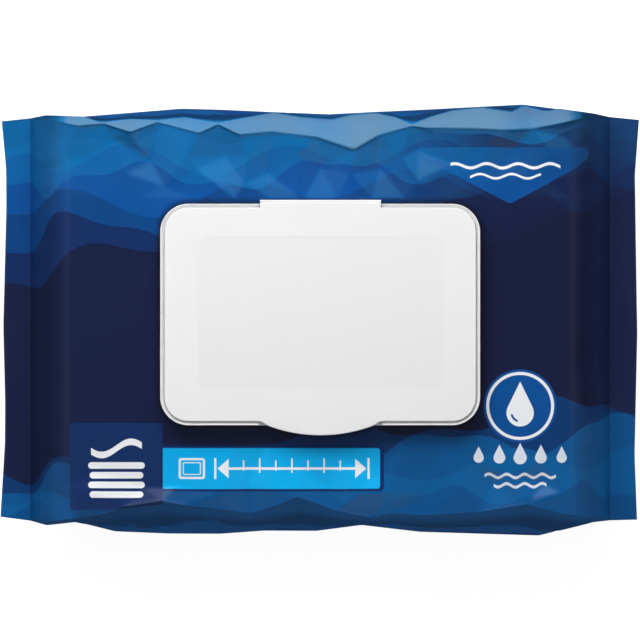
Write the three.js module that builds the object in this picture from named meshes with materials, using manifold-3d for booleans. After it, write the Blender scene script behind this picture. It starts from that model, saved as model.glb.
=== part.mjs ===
// Wet wipes pack: a soft flow-wrapped film pack with a white flip-top lid bonded to its upper face.
// Millimetres. +Z up, the pack lies on its back. +X runs along the pack from one crimp to the other,
// +Y runs across it towards the lid's hinge. The origin is at the middle of the underside.
import * as THREE from 'three';
import Module from 'manifold-3d';

const wasm = await Module();
wasm.setup();

// ---------------------------------------------------------------- driving dimensions
const STACK_HALF_L = 102.0;      // half length of the flat top over the folded cloths (8 in cloths)
const FLAT_HALF_W = 71.0;        // half width of the flat top and base, before the shoulders curve over
const FILM_TOP = 56.0;           // height of the upper face of the film
const MID = FILM_TOP / 2;        // height of the two end crimps
const CRIMP_IN = 119.0;          // where each crimp begins, from the middle
const CRIMP_T = 1.2;             // thickness of a crimp
const GUSSET = 22.0;             // depth that each side gusset is tucked in at the crimps
const GUSSET_FROM = 97.0;        // where the gusset's fold begins, from the middle
// plan outline of the pack at mid height, rear (+Y) and front (-Y) sides: x, y
const REAR = [[-121, 82.3], [-112.5, 83.8], [-99, 83.2], [-57, 86.6], [-41, 86.2], [-19.3, 85.2], [3.7, 84.3],
  [21, 85.2], [41, 86.1], [83.3, 88.3], [112.3, 84.5], [121, 82.8]];
const FRONT = [[-121, -81.7], [-112.1, -84.0], [-100.2, -82.6], [-84.1, -86.6], [-62.6, -87.5], [-41, -87.6],
  [-22.8, -86.3], [-1.4, -86.4], [17, -84.0], [41, -86.8], [89.9, -88.3], [112.3, -82.7], [121, -81.9]];
const LEFT_EDGE = [[-130.3, 81.6], [-128.5, 61.9], [-128.4, 45.5], [-129.5, 4.1], [-129.7, -2], [-128.9, -33.6],
  [-129.0, -50.4], [-130.8, -80.8]];
const RIGHT_EDGE = [[130.0, -82.0], [129.0, -55.8], [130.1, -4.1], [129.9, 4.1], [129.1, 59.5], [130.8, 82.2]];
const FIN_Y0 = -12.0, FIN_Y1 = 4.0, FIN_T = 0.5;   // long fin seal folded flat against the underside

// lid
const LID_X = 0.2, LID_Y = 2.5;  // middle of the lid on the film
const FR_W = 131.4, FR_H = 91.2, FR_R = 11.6;      // frame, outside
const RIM_T = 1.3, RIM_TOP = 63.4;                 // rim round the flap
const FLANGE_TOP = 57.2;                           // flange bonded to the film
const WIN_W = 96.0, WIN_H = 50.0, WIN_R = 12.0;    // dispensing window
const COLLAR_T = 1.2, COLLAR_TOP = 60.2;           // collar round the window
const GAP = 0.45;                                  // flap to rim
const LID_TOP = 64.0;                              // top face of the closed flap
const FLAP_T = 1.2, SKIRT_BOTTOM = 59.0;
const FLAP_W = FR_W - 2 * (RIM_T + GAP), FLAP_H = FR_H - 2 * (RIM_T + GAP), FLAP_R = 9.8;
const PANEL_W = 100.5, PANEL_H = 63.5, PANEL_R = 4.0, PANEL_D = 0.5;   // shallow sunk panel in the flap
const RIB_T = 1.0, RIB_GAP = 0.5, RIB_BOTTOM = 58.8;                    // sealing rib, outside the collar
const HINGE_HALF = 24.75, HINGE_Y = 48.2, HINGE_Z = LID_TOP;            // living hinge line
const HINGE_GAP = 0.15;                            // half gap left at the living hinge
const HINGE_REAR = 49.25;
const TAB_TIP = -47.2, TAB_HALF = 21.65, TAB_ROOT_HALF = 24.5, TAB_T = 1.5;
const LABEL_W = 84.0, LABEL_H = 36.0, LABEL_R = 9.0, LABEL_T = 0.3;     // peel-off seal over the film's opening

// ---------------------------------------------------------------- helpers
const lerp = (a, b, t) => a + (b - a) * t;
const clamp01 = (t) => Math.min(1, Math.max(0, t));
const smooth = (t) => { t = clamp01(t); return t * t * (3 - 2 * t); };
function along(table, x) {
  if (x <= table[0][0]) return table[0][1];
  for (let i = 1; i < table.length; i++) {
    if (x <= table[i][0]) {
      return lerp(table[i - 1][1], table[i][1], (x - table[i - 1][0]) / (table[i][0] - table[i - 1][0]));
    }
  }
  return table[table.length - 1][1];
}
// closed solid from positions and triangles
function solid(points, tris) {
  const mesh = new wasm.Mesh({
    numProp: 3,
    vertProperties: new Float32Array(points.flat()),
    triVerts: new Uint32Array(tris.flat()),
  });
  return new wasm.Manifold(mesh);
}
// rounded rectangle, counter-clockwise, n steps a corner
function rrect(cx, cy, w, h, r, n = 6) {
  const pts = [];
  const corners = [[1, 1, 0], [-1, 1, 90], [-1, -1, 180], [1, -1, 270]];
  for (const [sx, sy, a0] of corners) {
    for (let i = 0; i <= n; i++) {
      const a = ((a0 + (90 * i) / n) * Math.PI) / 180;
      pts.push([cx + sx * (w / 2 - r) + r * Math.cos(a), cy + sy * (h / 2 - r) + r * Math.sin(a)]);
    }
  }
  return pts;
}
const inset = (cx, cy, w, h, r, d, n) => rrect(cx, cy, w - 2 * d, h - 2 * d, Math.max(r - d, 0.3), n);
// stack of closed outlines (same number of points) joined into one capped solid, lowest first
function stack(rings) {
  const pts = [], tris = [];
  const n = rings[0].pts.length;
  rings.forEach((r) => r.pts.forEach((p) => pts.push([p[0], p[1], r.z])));
  for (let k = 0; k + 1 < rings.length; k++) {
    for (let i = 0; i < n; i++) {
      const a = k * n + i, b = k * n + ((i + 1) % n), c = a + n, d = b + n;
      tris.push([a, b, d], [a, d, c]);
    }
  }
  const cap = (k, up) => {
    const c = rings[k].pts.map((p) => new THREE.Vector2(p[0], p[1]));
    for (const f of THREE.ShapeUtils.triangulateShape(c, [])) {
      const t = f.map((v) => v + k * n);
      tris.push(up ? t : [t[0], t[2], t[1]]);
    }
  };
  cap(0, false);
  cap(rings.length - 1, true);
  return solid(pts, tris);
}
const slab = (pts, z0, z1) => stack([{ pts, z: z0 }, { pts, z: z1 }]);
// box between two corners
function block(x0, y0, z0, x1, y1, z1) {
  return slab([[x0, y0], [x1, y0], [x1, y1], [x0, y1]], z0, z1);
}
// rounded outer edge: how far in and how far down, on a quarter circle of radius r
const fillet = (r, steps = 3) => Array.from({ length: steps + 1 }, (_, i) => {
  const a = ((i / steps) * Math.PI) / 2;
  return [r * (1 - Math.cos(a)), r * (1 - Math.sin(a))];
});
function toMesh(name, manifold, material) {
  const m = manifold.getMesh();
  const g = new THREE.BufferGeometry();
  const pos = new Float32Array(m.numVert * 3);
  for (let i = 0; i < m.numVert; i++) {
    for (let j = 0; j < 3; j++) pos[3 * i + j] = m.vertProperties[m.numProp * i + j];
  }
  g.setAttribute('position', new THREE.BufferAttribute(pos, 3));
  g.setIndex(new THREE.BufferAttribute(new Uint32Array(m.triVerts), 1));
  g.computeVertexNormals();
  const mesh = new THREE.Mesh(g, material);
  mesh.name = name;
  return mesh;
}

// ---------------------------------------------------------------- materials
const filmMat = new THREE.MeshStandardMaterial({ color: 0x1e2850, roughness: 0.38, metalness: 0.0 });
const labelMat = new THREE.MeshStandardMaterial({ color: 0xd9dfe6, roughness: 0.35, metalness: 0.0 });
const lidMat = new THREE.MeshStandardMaterial({ color: 0xf2f2f2, roughness: 0.45, metalness: 0.0 });

// ---------------------------------------------------------------- film pack with its contents
// Sections across the pack at stations along X. Each section is flat below and above, with bulging
// sides that turn into a tucked-in V towards each crimp.
const TOP_PROFILE = [[STACK_HALF_L, 56], [104.5, 55.4], [107, 53.6], [109.5, 50.2], [112.3, 45.2], [115, 39.2],
  [117.5, 32.4], [CRIMP_IN, MID + CRIMP_T / 2]];
const stations = [];
for (const x of [119, 117.5, 115, 112.3, 109.5, 107, 104.5, 102, 99.5, 97, 94, 89.9]) stations.push(-x, x);
for (const x of [-84.1, -73, -62.6, -57, -49, -41, -32, -22.8, -19.3, -10, -1.4, 3.7, 10, 17, 21, 31, 41, 52, 62, 73,
  83.3]) stations.push(x);
stations.sort((a, b) => a - b);
function section(x) {
  const ax = Math.abs(x);
  const zt = ax <= STACK_HALF_L ? FILM_TOP : along(TOP_PROFILE, ax);
  const t = smooth((ax - 94) / (CRIMP_IN - 94));
  const tuck = GUSSET * clamp01((ax - GUSSET_FROM) / (CRIMP_IN - GUSSET_FROM));
  const half = (w) => {       // from the flat top out to mid height, on a side whose outline is w wide
    const top = [[FLAT_HALF_W, zt], [75.4, zt - 0.9 * (1 - t)], [lerp(79.6, 78.6, t), zt - 4.4 * (1 - t)],
      [lerp(w - 1.7, w - 0.02, t), zt - 15 * (1 - t)]];
    if (t >= 1) top[3] = [w, zt];
    return { top, mid: [w - tuck, MID] };
  };
  const mirror = ([y, z]) => [y, FILM_TOP - z];
  const r = half(along(REAR, x)), f = half(-along(FRONT, x));
  // seen along +X: start on the rear half of the base and go round by the rear side
  return [
    ...r.top.map(mirror), r.mid, ...[...r.top].reverse(),
    ...f.top.map(([y, z]) => [-y, z]), [-f.mid[0], f.mid[1]], ...[...f.top].reverse().map(mirror).map(([y, z]) => [-y, z]),
  ];
}
function filmBody() {
  const pts = [], tris = [];
  const secs = stations.map(section);
  const n = secs[0].length;
  secs.forEach((s, k) => s.forEach(([y, z]) => pts.push([stations[k], y, z])));
  for (let k = 0; k + 1 < secs.length; k++) {
    for (let i = 0; i < n; i++) {
      const a = k * n + i, b = k * n + ((i + 1) % n), c = a + n, d = b + n;
      tris.push([a, b, d], [a, d, c]);
    }
  }
  // each end is closed by fans from the two tucked-in points of the gussets
  const end = [];
  for (const [m, from] of [[4, 5], [13, 9]]) for (let i = from; i < from + 3; i++) end.push([m, i, i + 1]);
  for (const [m, from] of [[4, 0], [13, 14]]) for (let i = from; i < from + 3; i++) end.push([m, i, i + 1]);
  end.push([4, 8, 9], [4, 9, 13], [4, 13, 17], [4, 17, 0]);
  const last = (secs.length - 1) * n;
  for (const [p, q, r] of end) tris.push([p, r, q], [p + last, q + last, r + last]);
  return solid(pts, tris);
}
const z0 = MID - CRIMP_T / 2, z1 = MID + CRIMP_T / 2;
const leftCrimp = slab([[-118.7, along(REAR, -118.7)], [-121, along(REAR, -121)], ...LEFT_EDGE,
  [-121, along(FRONT, -121)], [-118.7, along(FRONT, -118.7)]], z0, z1);
const rightCrimp = slab([[118.7, along(FRONT, 118.7)], [121, along(FRONT, 121)], ...RIGHT_EDGE,
  [121, along(REAR, 121)], [118.7, along(REAR, 118.7)]], z0, z1);
let film = filmBody().add(leftCrimp).add(rightCrimp);
// the fin seal lies flush in the underside, between two shallow grooves
const groove = (y0, y1) => {
  const p = [[y0, -1], [y1, -1], [y1, 0], [(y0 + y1) / 2 + 0.6, FIN_T], [(y0 + y1) / 2 - 0.6, FIN_T], [y0, 0]];
  const pts = [], tris = [];
  for (const x of [-103, 103]) p.forEach(([y, z]) => pts.push([x, y, z]));
  const n = p.length;
  for (let i = 0; i < n; i++) {
    const a = i, b = (i + 1) % n;
    tris.push([a, b, b + n], [a, b + n, a + n]);
  }
  for (const f of THREE.ShapeUtils.triangulateShape(p.map((q) => new THREE.Vector2(q[0], q[1])), [])) {
    tris.push([f[0], f[2], f[1]], [f[0] + n, f[1] + n, f[2] + n]);
  }
  return solid(pts, tris);
};
film = film.subtract(groove(FIN_Y0 - 3.4, FIN_Y0)).subtract(groove(FIN_Y1, FIN_Y1 + 2.2));

// ---------------------------------------------------------------- peel-off seal under the flap
const label = slab(rrect(LID_X, LID_Y, LABEL_W, LABEL_H, LABEL_R, 6), FILM_TOP, FILM_TOP + LABEL_T)
  .add(slab(rrect(LID_X, LID_Y - LABEL_H / 2, 16, 8, 3.9, 6), FILM_TOP, FILM_TOP + LABEL_T));

// ---------------------------------------------------------------- lid frame
const frameEdge = fillet(0.5, 2);
let frame = stack([
  { pts: rrect(LID_X, LID_Y, FR_W, FR_H, FR_R, 8), z: FILM_TOP },
  ...frameEdge.map(([d, h]) => ({ pts: inset(LID_X, LID_Y, FR_W, FR_H, FR_R, d, 8), z: RIM_TOP - h })),
]);
// hollow inside the rim, down to the flange, with the rim's inner top edge rounded too
frame = frame.subtract(stack([
  { pts: inset(LID_X, LID_Y, FR_W, FR_H, FR_R, RIM_T, 8), z: FLANGE_TOP },
  ...[...frameEdge].map(([d, h]) => ({ pts: inset(LID_X, LID_Y, FR_W, FR_H, FR_R, RIM_T - d * 0.6, 8), z: RIM_TOP - h })),
  { pts: inset(LID_X, LID_Y, FR_W, FR_H, FR_R, RIM_T - 0.3, 8), z: RIM_TOP + 2 },
]));
frame = frame.add(slab(rrect(LID_X, LID_Y, WIN_W + 2 * COLLAR_T, WIN_H + 2 * COLLAR_T, WIN_R + COLLAR_T, 6), FLANGE_TOP - 0.5,
  COLLAR_TOP));
frame = frame.subtract(slab(rrect(LID_X, LID_Y, WIN_W, WIN_H, WIN_R, 6), FILM_TOP - 1, COLLAR_TOP + 1));
// the rim drops under the thumb tab and under the hinge
const frontIn = LID_Y - FR_H / 2 + RIM_T, rearIn = LID_Y + FR_H / 2 - RIM_T;
frame = frame.subtract(block(LID_X - HINGE_HALF - 0.6, frontIn - 3, 61.7, LID_X + HINGE_HALF + 0.6, frontIn + 0.4, RIM_TOP + 1));
frame = frame.subtract(block(LID_X - HINGE_HALF - 0.6, rearIn - 0.4, 62.0, LID_X + HINGE_HALF + 0.6, rearIn + 3, RIM_TOP + 1));
// rear wall that carries the living hinge, flush with the flap's top
frame = frame.add(block(LID_X - HINGE_HALF, rearIn + 0.3, FILM_TOP, LID_X + HINGE_HALF, HINGE_REAR, 61.9));
frame = frame.add(stack([
  { pts: [[LID_X - HINGE_HALF, HINGE_Y + HINGE_GAP], [LID_X + HINGE_HALF, HINGE_Y + HINGE_GAP],
    [LID_X + HINGE_HALF, HINGE_REAR], [LID_X - HINGE_HALF, HINGE_REAR]], z: 61.5 },
  { pts: [[LID_X - HINGE_HALF, HINGE_Y + HINGE_GAP], [LID_X + HINGE_HALF, HINGE_Y + HINGE_GAP],
    [LID_X + HINGE_HALF, HINGE_REAR], [LID_X - HINGE_HALF, HINGE_REAR]], z: 63.35 },
  { pts: [[LID_X - HINGE_HALF + 0.2, HINGE_Y + HINGE_GAP], [LID_X + HINGE_HALF - 0.2, HINGE_Y + HINGE_GAP],
    [LID_X + HINGE_HALF - 0.2, HINGE_REAR - 0.45], [LID_X - HINGE_HALF + 0.2, HINGE_REAR - 0.45]], z: LID_TOP - 0.15 },
]));
// catch that holds the flap's front skirt shut
const frontSkirtIn = LID_Y - FLAP_H / 2 + FLAP_T;
frame = frame.add(block(LID_X - 12, frontSkirtIn + 0.35, FLANGE_TOP - 0.5, LID_X + 12, frontSkirtIn + 1.55, 61.0));
frame = frame.add(block(LID_X - 10, frontSkirtIn + 0.12, 60.1, LID_X + 10, frontSkirtIn + 1.0, 60.8));

// ---------------------------------------------------------------- lid flap
const flapEdge = fillet(1.1, 3);
let flap = stack([
  { pts: rrect(LID_X, LID_Y, FLAP_W, FLAP_H, FLAP_R, 8), z: SKIRT_BOTTOM },
  ...flapEdge.map(([d, h]) => ({ pts: inset(LID_X, LID_Y, FLAP_W, FLAP_H, FLAP_R, d, 8), z: LID_TOP - h })),
]);
// thumb tab
const arcR = (TAB_HALF * TAB_HALF + (TAB_TIP + 43.25) ** 2) / (2 * Math.abs(TAB_TIP + 43.25));
function tabOutline(d) {
  const pts = [[LID_X + TAB_ROOT_HALF - d, -38], [LID_X - TAB_ROOT_HALF + d, -38], [LID_X - TAB_ROOT_HALF + d, -41.4]];
  const a1 = Math.asin(TAB_HALF / arcR);
  for (let i = 0; i <= 14; i++) {
    const a = lerp(-a1, a1, i / 14);
    pts.push([LID_X + (arcR - d) * Math.sin(a), TAB_TIP + arcR - (arcR - d) * Math.cos(a)]);
  }
  pts.push([LID_X + TAB_ROOT_HALF - d, -41.4]);
  return pts;
}
flap = flap.add(stack([
  { pts: tabOutline(0.5), z: LID_TOP - TAB_T },
  { pts: tabOutline(0), z: LID_TOP - TAB_T + 0.5 },
  ...fillet(0.8, 2).map(([d, h]) => ({ pts: tabOutline(d), z: LID_TOP - h })),
]));
// lip that reaches back to the living hinge
flap = flap.add(block(LID_X - HINGE_HALF, LID_Y + FLAP_H / 2 - 3, LID_TOP - 1.3, LID_X + HINGE_HALF, HINGE_Y - HINGE_GAP, LID_TOP));
// hollow underside
flap = flap.subtract(slab(inset(LID_X, LID_Y, FLAP_W, FLAP_H, FLAP_R, FLAP_T, 8), SKIRT_BOTTOM - 1, LID_TOP - FLAP_T));
// sunk panel in the top, with its underside carried down by the same amount
flap = flap.add(slab(rrect(LID_X, LID_Y, PANEL_W + 2.4, PANEL_H + 2.4, PANEL_R + 1.2, 4), LID_TOP - FLAP_T - PANEL_D,
  LID_TOP - FLAP_T + 0.2));
flap = flap.subtract(stack([
  { pts: rrect(LID_X, LID_Y, PANEL_W - 1.6, PANEL_H - 1.6, PANEL_R - 0.8, 4), z: LID_TOP - PANEL_D },
  { pts: rrect(LID_X, LID_Y, PANEL_W, PANEL_H, PANEL_R, 4), z: LID_TOP },
  { pts: rrect(LID_X, LID_Y, PANEL_W + 0.6, PANEL_H + 0.6, PANEL_R + 0.3, 4), z: LID_TOP + 1 },
]));
// sealing rib round the collar
const ribIn = RIB_GAP + COLLAR_T;
const ribZ = LID_TOP - FLAP_T - PANEL_D + 0.2;
let rib = slab(rrect(LID_X, LID_Y, WIN_W + 2 * (ribIn + RIB_T), WIN_H + 2 * (ribIn + RIB_T), WIN_R + ribIn + RIB_T, 6), RIB_BOTTOM,
  ribZ);
rib = rib.subtract(slab(rrect(LID_X, LID_Y, WIN_W + 2 * ribIn, WIN_H + 2 * ribIn, WIN_R + ribIn, 6), RIB_BOTTOM - 1, ribZ - 0.2));
flap = flap.add(rib.intersect(slab(rrect(LID_X, LID_Y, FLAP_W - 1, FLAP_H - 1, FLAP_R, 4), RIB_BOTTOM - 2, LID_TOP)));

// ---------------------------------------------------------------- the object
const pack = new THREE.Group();
pack.add(toMesh('film_pouch', film, filmMat));
pack.add(toMesh('seal_label', label, labelMat));
pack.add(toMesh('lid_frame', frame, lidMat));
pack.add(toMesh('lid_flap', flap, lidMat));

export default pack;
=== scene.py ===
import bpy
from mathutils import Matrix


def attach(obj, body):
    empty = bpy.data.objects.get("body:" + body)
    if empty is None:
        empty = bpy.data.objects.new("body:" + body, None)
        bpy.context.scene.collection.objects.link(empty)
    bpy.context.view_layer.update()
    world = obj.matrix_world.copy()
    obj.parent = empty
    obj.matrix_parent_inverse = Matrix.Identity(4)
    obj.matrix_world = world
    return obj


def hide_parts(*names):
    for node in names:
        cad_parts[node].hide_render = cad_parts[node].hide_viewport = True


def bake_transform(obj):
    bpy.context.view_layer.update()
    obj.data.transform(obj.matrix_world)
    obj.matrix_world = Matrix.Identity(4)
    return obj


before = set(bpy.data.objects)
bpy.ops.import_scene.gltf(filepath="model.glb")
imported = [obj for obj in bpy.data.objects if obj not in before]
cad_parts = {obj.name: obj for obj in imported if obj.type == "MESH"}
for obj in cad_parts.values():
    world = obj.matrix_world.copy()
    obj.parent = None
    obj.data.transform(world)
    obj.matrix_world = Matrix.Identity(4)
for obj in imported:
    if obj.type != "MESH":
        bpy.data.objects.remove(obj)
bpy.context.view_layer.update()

import bpy, bmesh, math
import numpy as np
from mathutils import Vector, Matrix

MM = 0.001

# ------------------------------------------------------------------ sizes shared with the construction
FILM_TOP, MID = 56.0, 28.0
CRIMP_IN, GUSSET, GUSSET_FROM = 119.0, 22.0, 96.0
REAR = [(-121, 82.3), (-112.5, 83.8), (-99, 83.2), (-57, 86.6), (-41, 86.2), (-19.3, 85.2), (3.7, 84.3),
        (21, 85.2), (41, 86.1), (83.3, 88.3), (112.3, 84.5), (121, 82.8)]
FRONT = [(-121, 81.7), (-112.1, 84.0), (-100.2, 82.6), (-84.1, 86.6), (-62.6, 87.5), (-41, 87.6),
         (-22.8, 86.3), (-1.4, 86.4), (17, 84.0), (41, 86.8), (89.9, 88.3), (112.3, 82.7), (121, 81.9)]
LEFT_EDGE = [(-80.8, 130.8), (-50.4, 129.0), (-33.6, 128.9), (-2, 129.7), (4.1, 129.5), (45.5, 128.4), (61.9, 128.5), (81.6, 130.3)]
RIGHT_EDGE = [(-82.0, 130.0), (-55.8, 129.0), (-4.1, 130.1), (4.1, 129.9), (59.5, 129.1), (82.2, 130.8)]
LID_X, LID_Y = 0.2, 2.5
FR_W, FR_H, FR_R = 131.4, 91.2, 11.6
RIM_T, RIM_TOP, FLANGE_TOP = 1.3, 63.4, 57.2
WIN_W, WIN_H, WIN_R = 96.0, 50.0, 12.0
COLLAR_T, COLLAR_TOP = 1.2, 60.2
GAP, LID_TOP, FLAP_T, SKIRT_BOTTOM = 0.45, 64.0, 1.2, 59.0
FLAP_W, FLAP_H, FLAP_R = FR_W - 2 * (RIM_T + GAP), FR_H - 2 * (RIM_T + GAP), 9.8
PANEL_W, PANEL_H, PANEL_R, PANEL_D = 100.5, 63.5, 4.0, 0.5
HINGE_HALF, HINGE_Y, HINGE_REAR = 24.75, 48.2, 49.25
TAB_TIP, TAB_HALF, TAB_ROOT_HALF = -47.2, 21.65, 24.5


def smooth01(t):
    t = np.clip(t, 0, 1)
    return t * t * (3 - 2 * t)


def table(pts, x, blur=0.0):
    """piecewise-linear table at x, with its corners rounded over +-blur"""
    xs, ys = np.array([p[0] for p in pts], float), np.array([p[1] for p in pts], float)
    if blur <= 0:
        return np.interp(x, xs, ys)
    k = np.linspace(-1, 1, 9)
    w = (1 - k * k) ** 2
    w /= w.sum()
    return sum(wi * np.interp(x + ki * blur, xs, ys) for ki, wi in zip(k, w))


def hash01(ix, iy, seed):
    h = np.sin(ix * 127.1 + iy * 311.7 + seed * 74.7) * 43758.5453
    return h - np.floor(h)


def vnoise(x, y, seed):
    """smooth value noise, -1..1"""
    ix, iy = np.floor(x), np.floor(y)
    fx, fy = smooth01(x - ix), smooth01(y - iy)
    a, b = hash01(ix, iy, seed), hash01(ix + 1, iy, seed)
    c, d = hash01(ix, iy + 1, seed), hash01(ix + 1, iy + 1, seed)
    return 2 * ((a * (1 - fx) + b * fx) * (1 - fy) + (c * (1 - fx) + d * fx) * fy) - 1


def new_object(name, verts, faces, mat, body="pack", smooth=True, scale=MM):
    me = bpy.data.meshes.new(name)
    me.from_pydata((np.asarray(verts, float) * scale).tolist(), [], [tuple(int(i) for i in f) for f in faces])
    me.validate()
    me.update()
    ob = bpy.data.objects.new(name, me)
    bpy.context.scene.collection.objects.link(ob)
    me.materials.append(mat)
    me.polygons.foreach_set("use_smooth", [smooth] * len(me.polygons))
    if body:
        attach(ob, body)
    return ob


# ------------------------------------------------------------------ shader writing
class Sock:
    """a number in a node tree, with arithmetic"""
    tree = None

    def __init__(self, out):
        self.out = out

    @staticmethod
    def put(node, i, v):
        if isinstance(v, Sock):
            Sock.tree.links.new(v.out, node.inputs[i])
        else:
            node.inputs[i].default_value = v

    @staticmethod
    def op(kind, *args, clamp=False):
        n = Sock.tree.nodes.new("ShaderNodeMath")
        n.operation = kind
        n.use_clamp = clamp
        for i, a in enumerate(args):
            Sock.put(n, i, a)
        return Sock(n.outputs[0])

    def __add__(s, o): return Sock.op("ADD", s, o)
    def __radd__(s, o): return Sock.op("ADD", o, s)
    def __sub__(s, o): return Sock.op("SUBTRACT", s, o)
    def __rsub__(s, o): return Sock.op("SUBTRACT", o, s)
    def __mul__(s, o): return Sock.op("MULTIPLY", s, o)
    def __rmul__(s, o): return Sock.op("MULTIPLY", o, s)
    def __truediv__(s, o): return Sock.op("DIVIDE", s, o)
    def __neg__(s): return Sock.op("MULTIPLY", s, -1.0)


def s_abs(a): return Sock.op("ABSOLUTE", a)
def s_max(a, b): return Sock.op("MAXIMUM", a, b)
def s_min(a, b): return Sock.op("MINIMUM", a, b)
def s_sin(a): return Sock.op("SINE", a)
def s_sqrt(a): return Sock.op("SQRT", a)


def s_step(v, lo, hi, a=0.0, b=1.0):
    """smooth step of v from a at lo to b at hi"""
    n = Sock.tree.nodes.new("ShaderNodeMapRange")
    n.interpolation_type = "SMOOTHSTEP"
    n.clamp = True
    Sock.put(n, 0, v)
    n.inputs[1].default_value, n.inputs[2].default_value = lo, hi
    n.inputs[3].default_value, n.inputs[4].default_value = a, b
    return Sock(n.outputs[0])


def inside(d, soft=0.13):
    """1 where the distance d is negative"""
    return s_step(d, -soft, soft, 1.0, 0.0)


def d_box(u, v, cx, cy, hw, hh, r):
    qx, qy = s_abs(u - cx) - (hw - r), s_abs(v - cy) - (hh - r)
    ox, oy = s_max(qx, 0.0), s_max(qy, 0.0)
    return s_sqrt(ox * ox + oy * oy) + s_min(s_max(qx, qy), 0.0) - r


def d_circle(u, v, cx, cy, r):
    x, y = u - cx, v - cy
    return s_sqrt(x * x + y * y) - r


def d_poly(u, v, pts, r=0.0):
    """convex polygon, counter-clockwise, from its edges' half planes; r rounds the corners"""
    n = len(pts)
    best = None
    for i in range(n):
        (x0, y0), (x1, y1) = pts[i], pts[(i + 1) % n]
        ex, ey = x1 - x0, y1 - y0
        length = math.hypot(ex, ey)
        nx, ny = ey / length, -ex / length
        d = u * nx + v * ny - (x0 * nx + y0 * ny)
        best = d if best is None else s_max(best, d)
    if r:      # blunt each corner with a circle's distance
        for i in range(n):
            (xp, yp), (x0, y0), (x1, y1) = pts[i - 1], pts[i], pts[(i + 1) % n]
            a, b = Vector((xp - x0, yp - y0)).normalized(), Vector((x1 - x0, y1 - y0)).normalized()
            half = a.angle(b) / 2
            mid = (a + b).normalized()
            cx, cy = x0 + mid.x * r / math.sin(half), y0 + mid.y * r / math.sin(half)
            tx = r / math.tan(half)
            # distance to the circle counts only in the corner's own wedge, beyond the two tangent points
            wedge = s_max(s_max((x0 - u) * a.x + (y0 - v) * a.y + tx, (x0 - u) * b.x + (y0 - v) * b.y + tx), 0.0)
            dc = d_circle(u, v, cx, cy, r)
            w = s_min(s_max((u - x0) * -mid.x + (v - y0) * -mid.y + r / math.sin(half) - r * math.sin(half), 0.0) * 50.0, 1.0)
            best = s_max(best, dc * w + (1.0 - w) * best)
    return best


def mix_col(f, a, b):
    n = Sock.tree.nodes.new("ShaderNodeMix")
    n.data_type = "RGBA"
    n.blend_type = "MIX"
    n.clamp_factor = True
    Sock.put(n, 0, f)
    for i, v in ((6, a), (7, b)):
        if hasattr(v, "links"):
            Sock.tree.links.new(v, n.inputs[i])
        else:
            n.inputs[i].default_value = (*v, 1.0)
    return n.outputs[2]


def srgb(r, g, b):
    def f(c):
        c /= 255.0
        return c / 12.92 if c <= 0.04045 else ((c + 0.055) / 1.055) ** 2.4
    return (f(r), f(g), f(b))


def ink(r, g, b, gloss=0.0065):
    """the film's own colour under its gloss, for a wanted look"""
    return tuple(max((c - gloss) / 0.95, 0.0012) for c in srgb(r, g, b))


def start_material(name):
    mat = bpy.data.materials.new(name)
    mat.use_nodes = True
    Sock.tree = mat.node_tree
    bsdf = next(n for n in mat.node_tree.nodes if n.type == "BSDF_PRINCIPLED")
    return mat, mat.node_tree, bsdf


def add_bump(tree, bsdf, height, distance, strength=1.0, normal=None):
    b = tree.nodes.new("ShaderNodeBump")
    b.inputs["Strength"].default_value = strength
    b.inputs["Distance"].default_value = distance
    tree.links.new(height, b.inputs["Height"])
    if normal is not None:
        tree.links.new(normal, b.inputs["Normal"])
    tree.links.new(b.outputs[0], bsdf.inputs["Normal"])
    return b.outputs[0]


def noise(tree, vec, scale, detail=3.0, rough=0.5, distortion=0.0):
    n = tree.nodes.new("ShaderNodeTexNoise")
    n.inputs["Scale"].default_value = scale
    n.inputs["Detail"].default_value = detail
    n.inputs["Roughness"].default_value = rough
    n.inputs["Distortion"].default_value = distortion
    if vec is not None:
        tree.links.new(vec, n.inputs["Vector"])
    return n


# film length from the pack's middle to the inner line of a crimp
CREASE_U = 135.6


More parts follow.
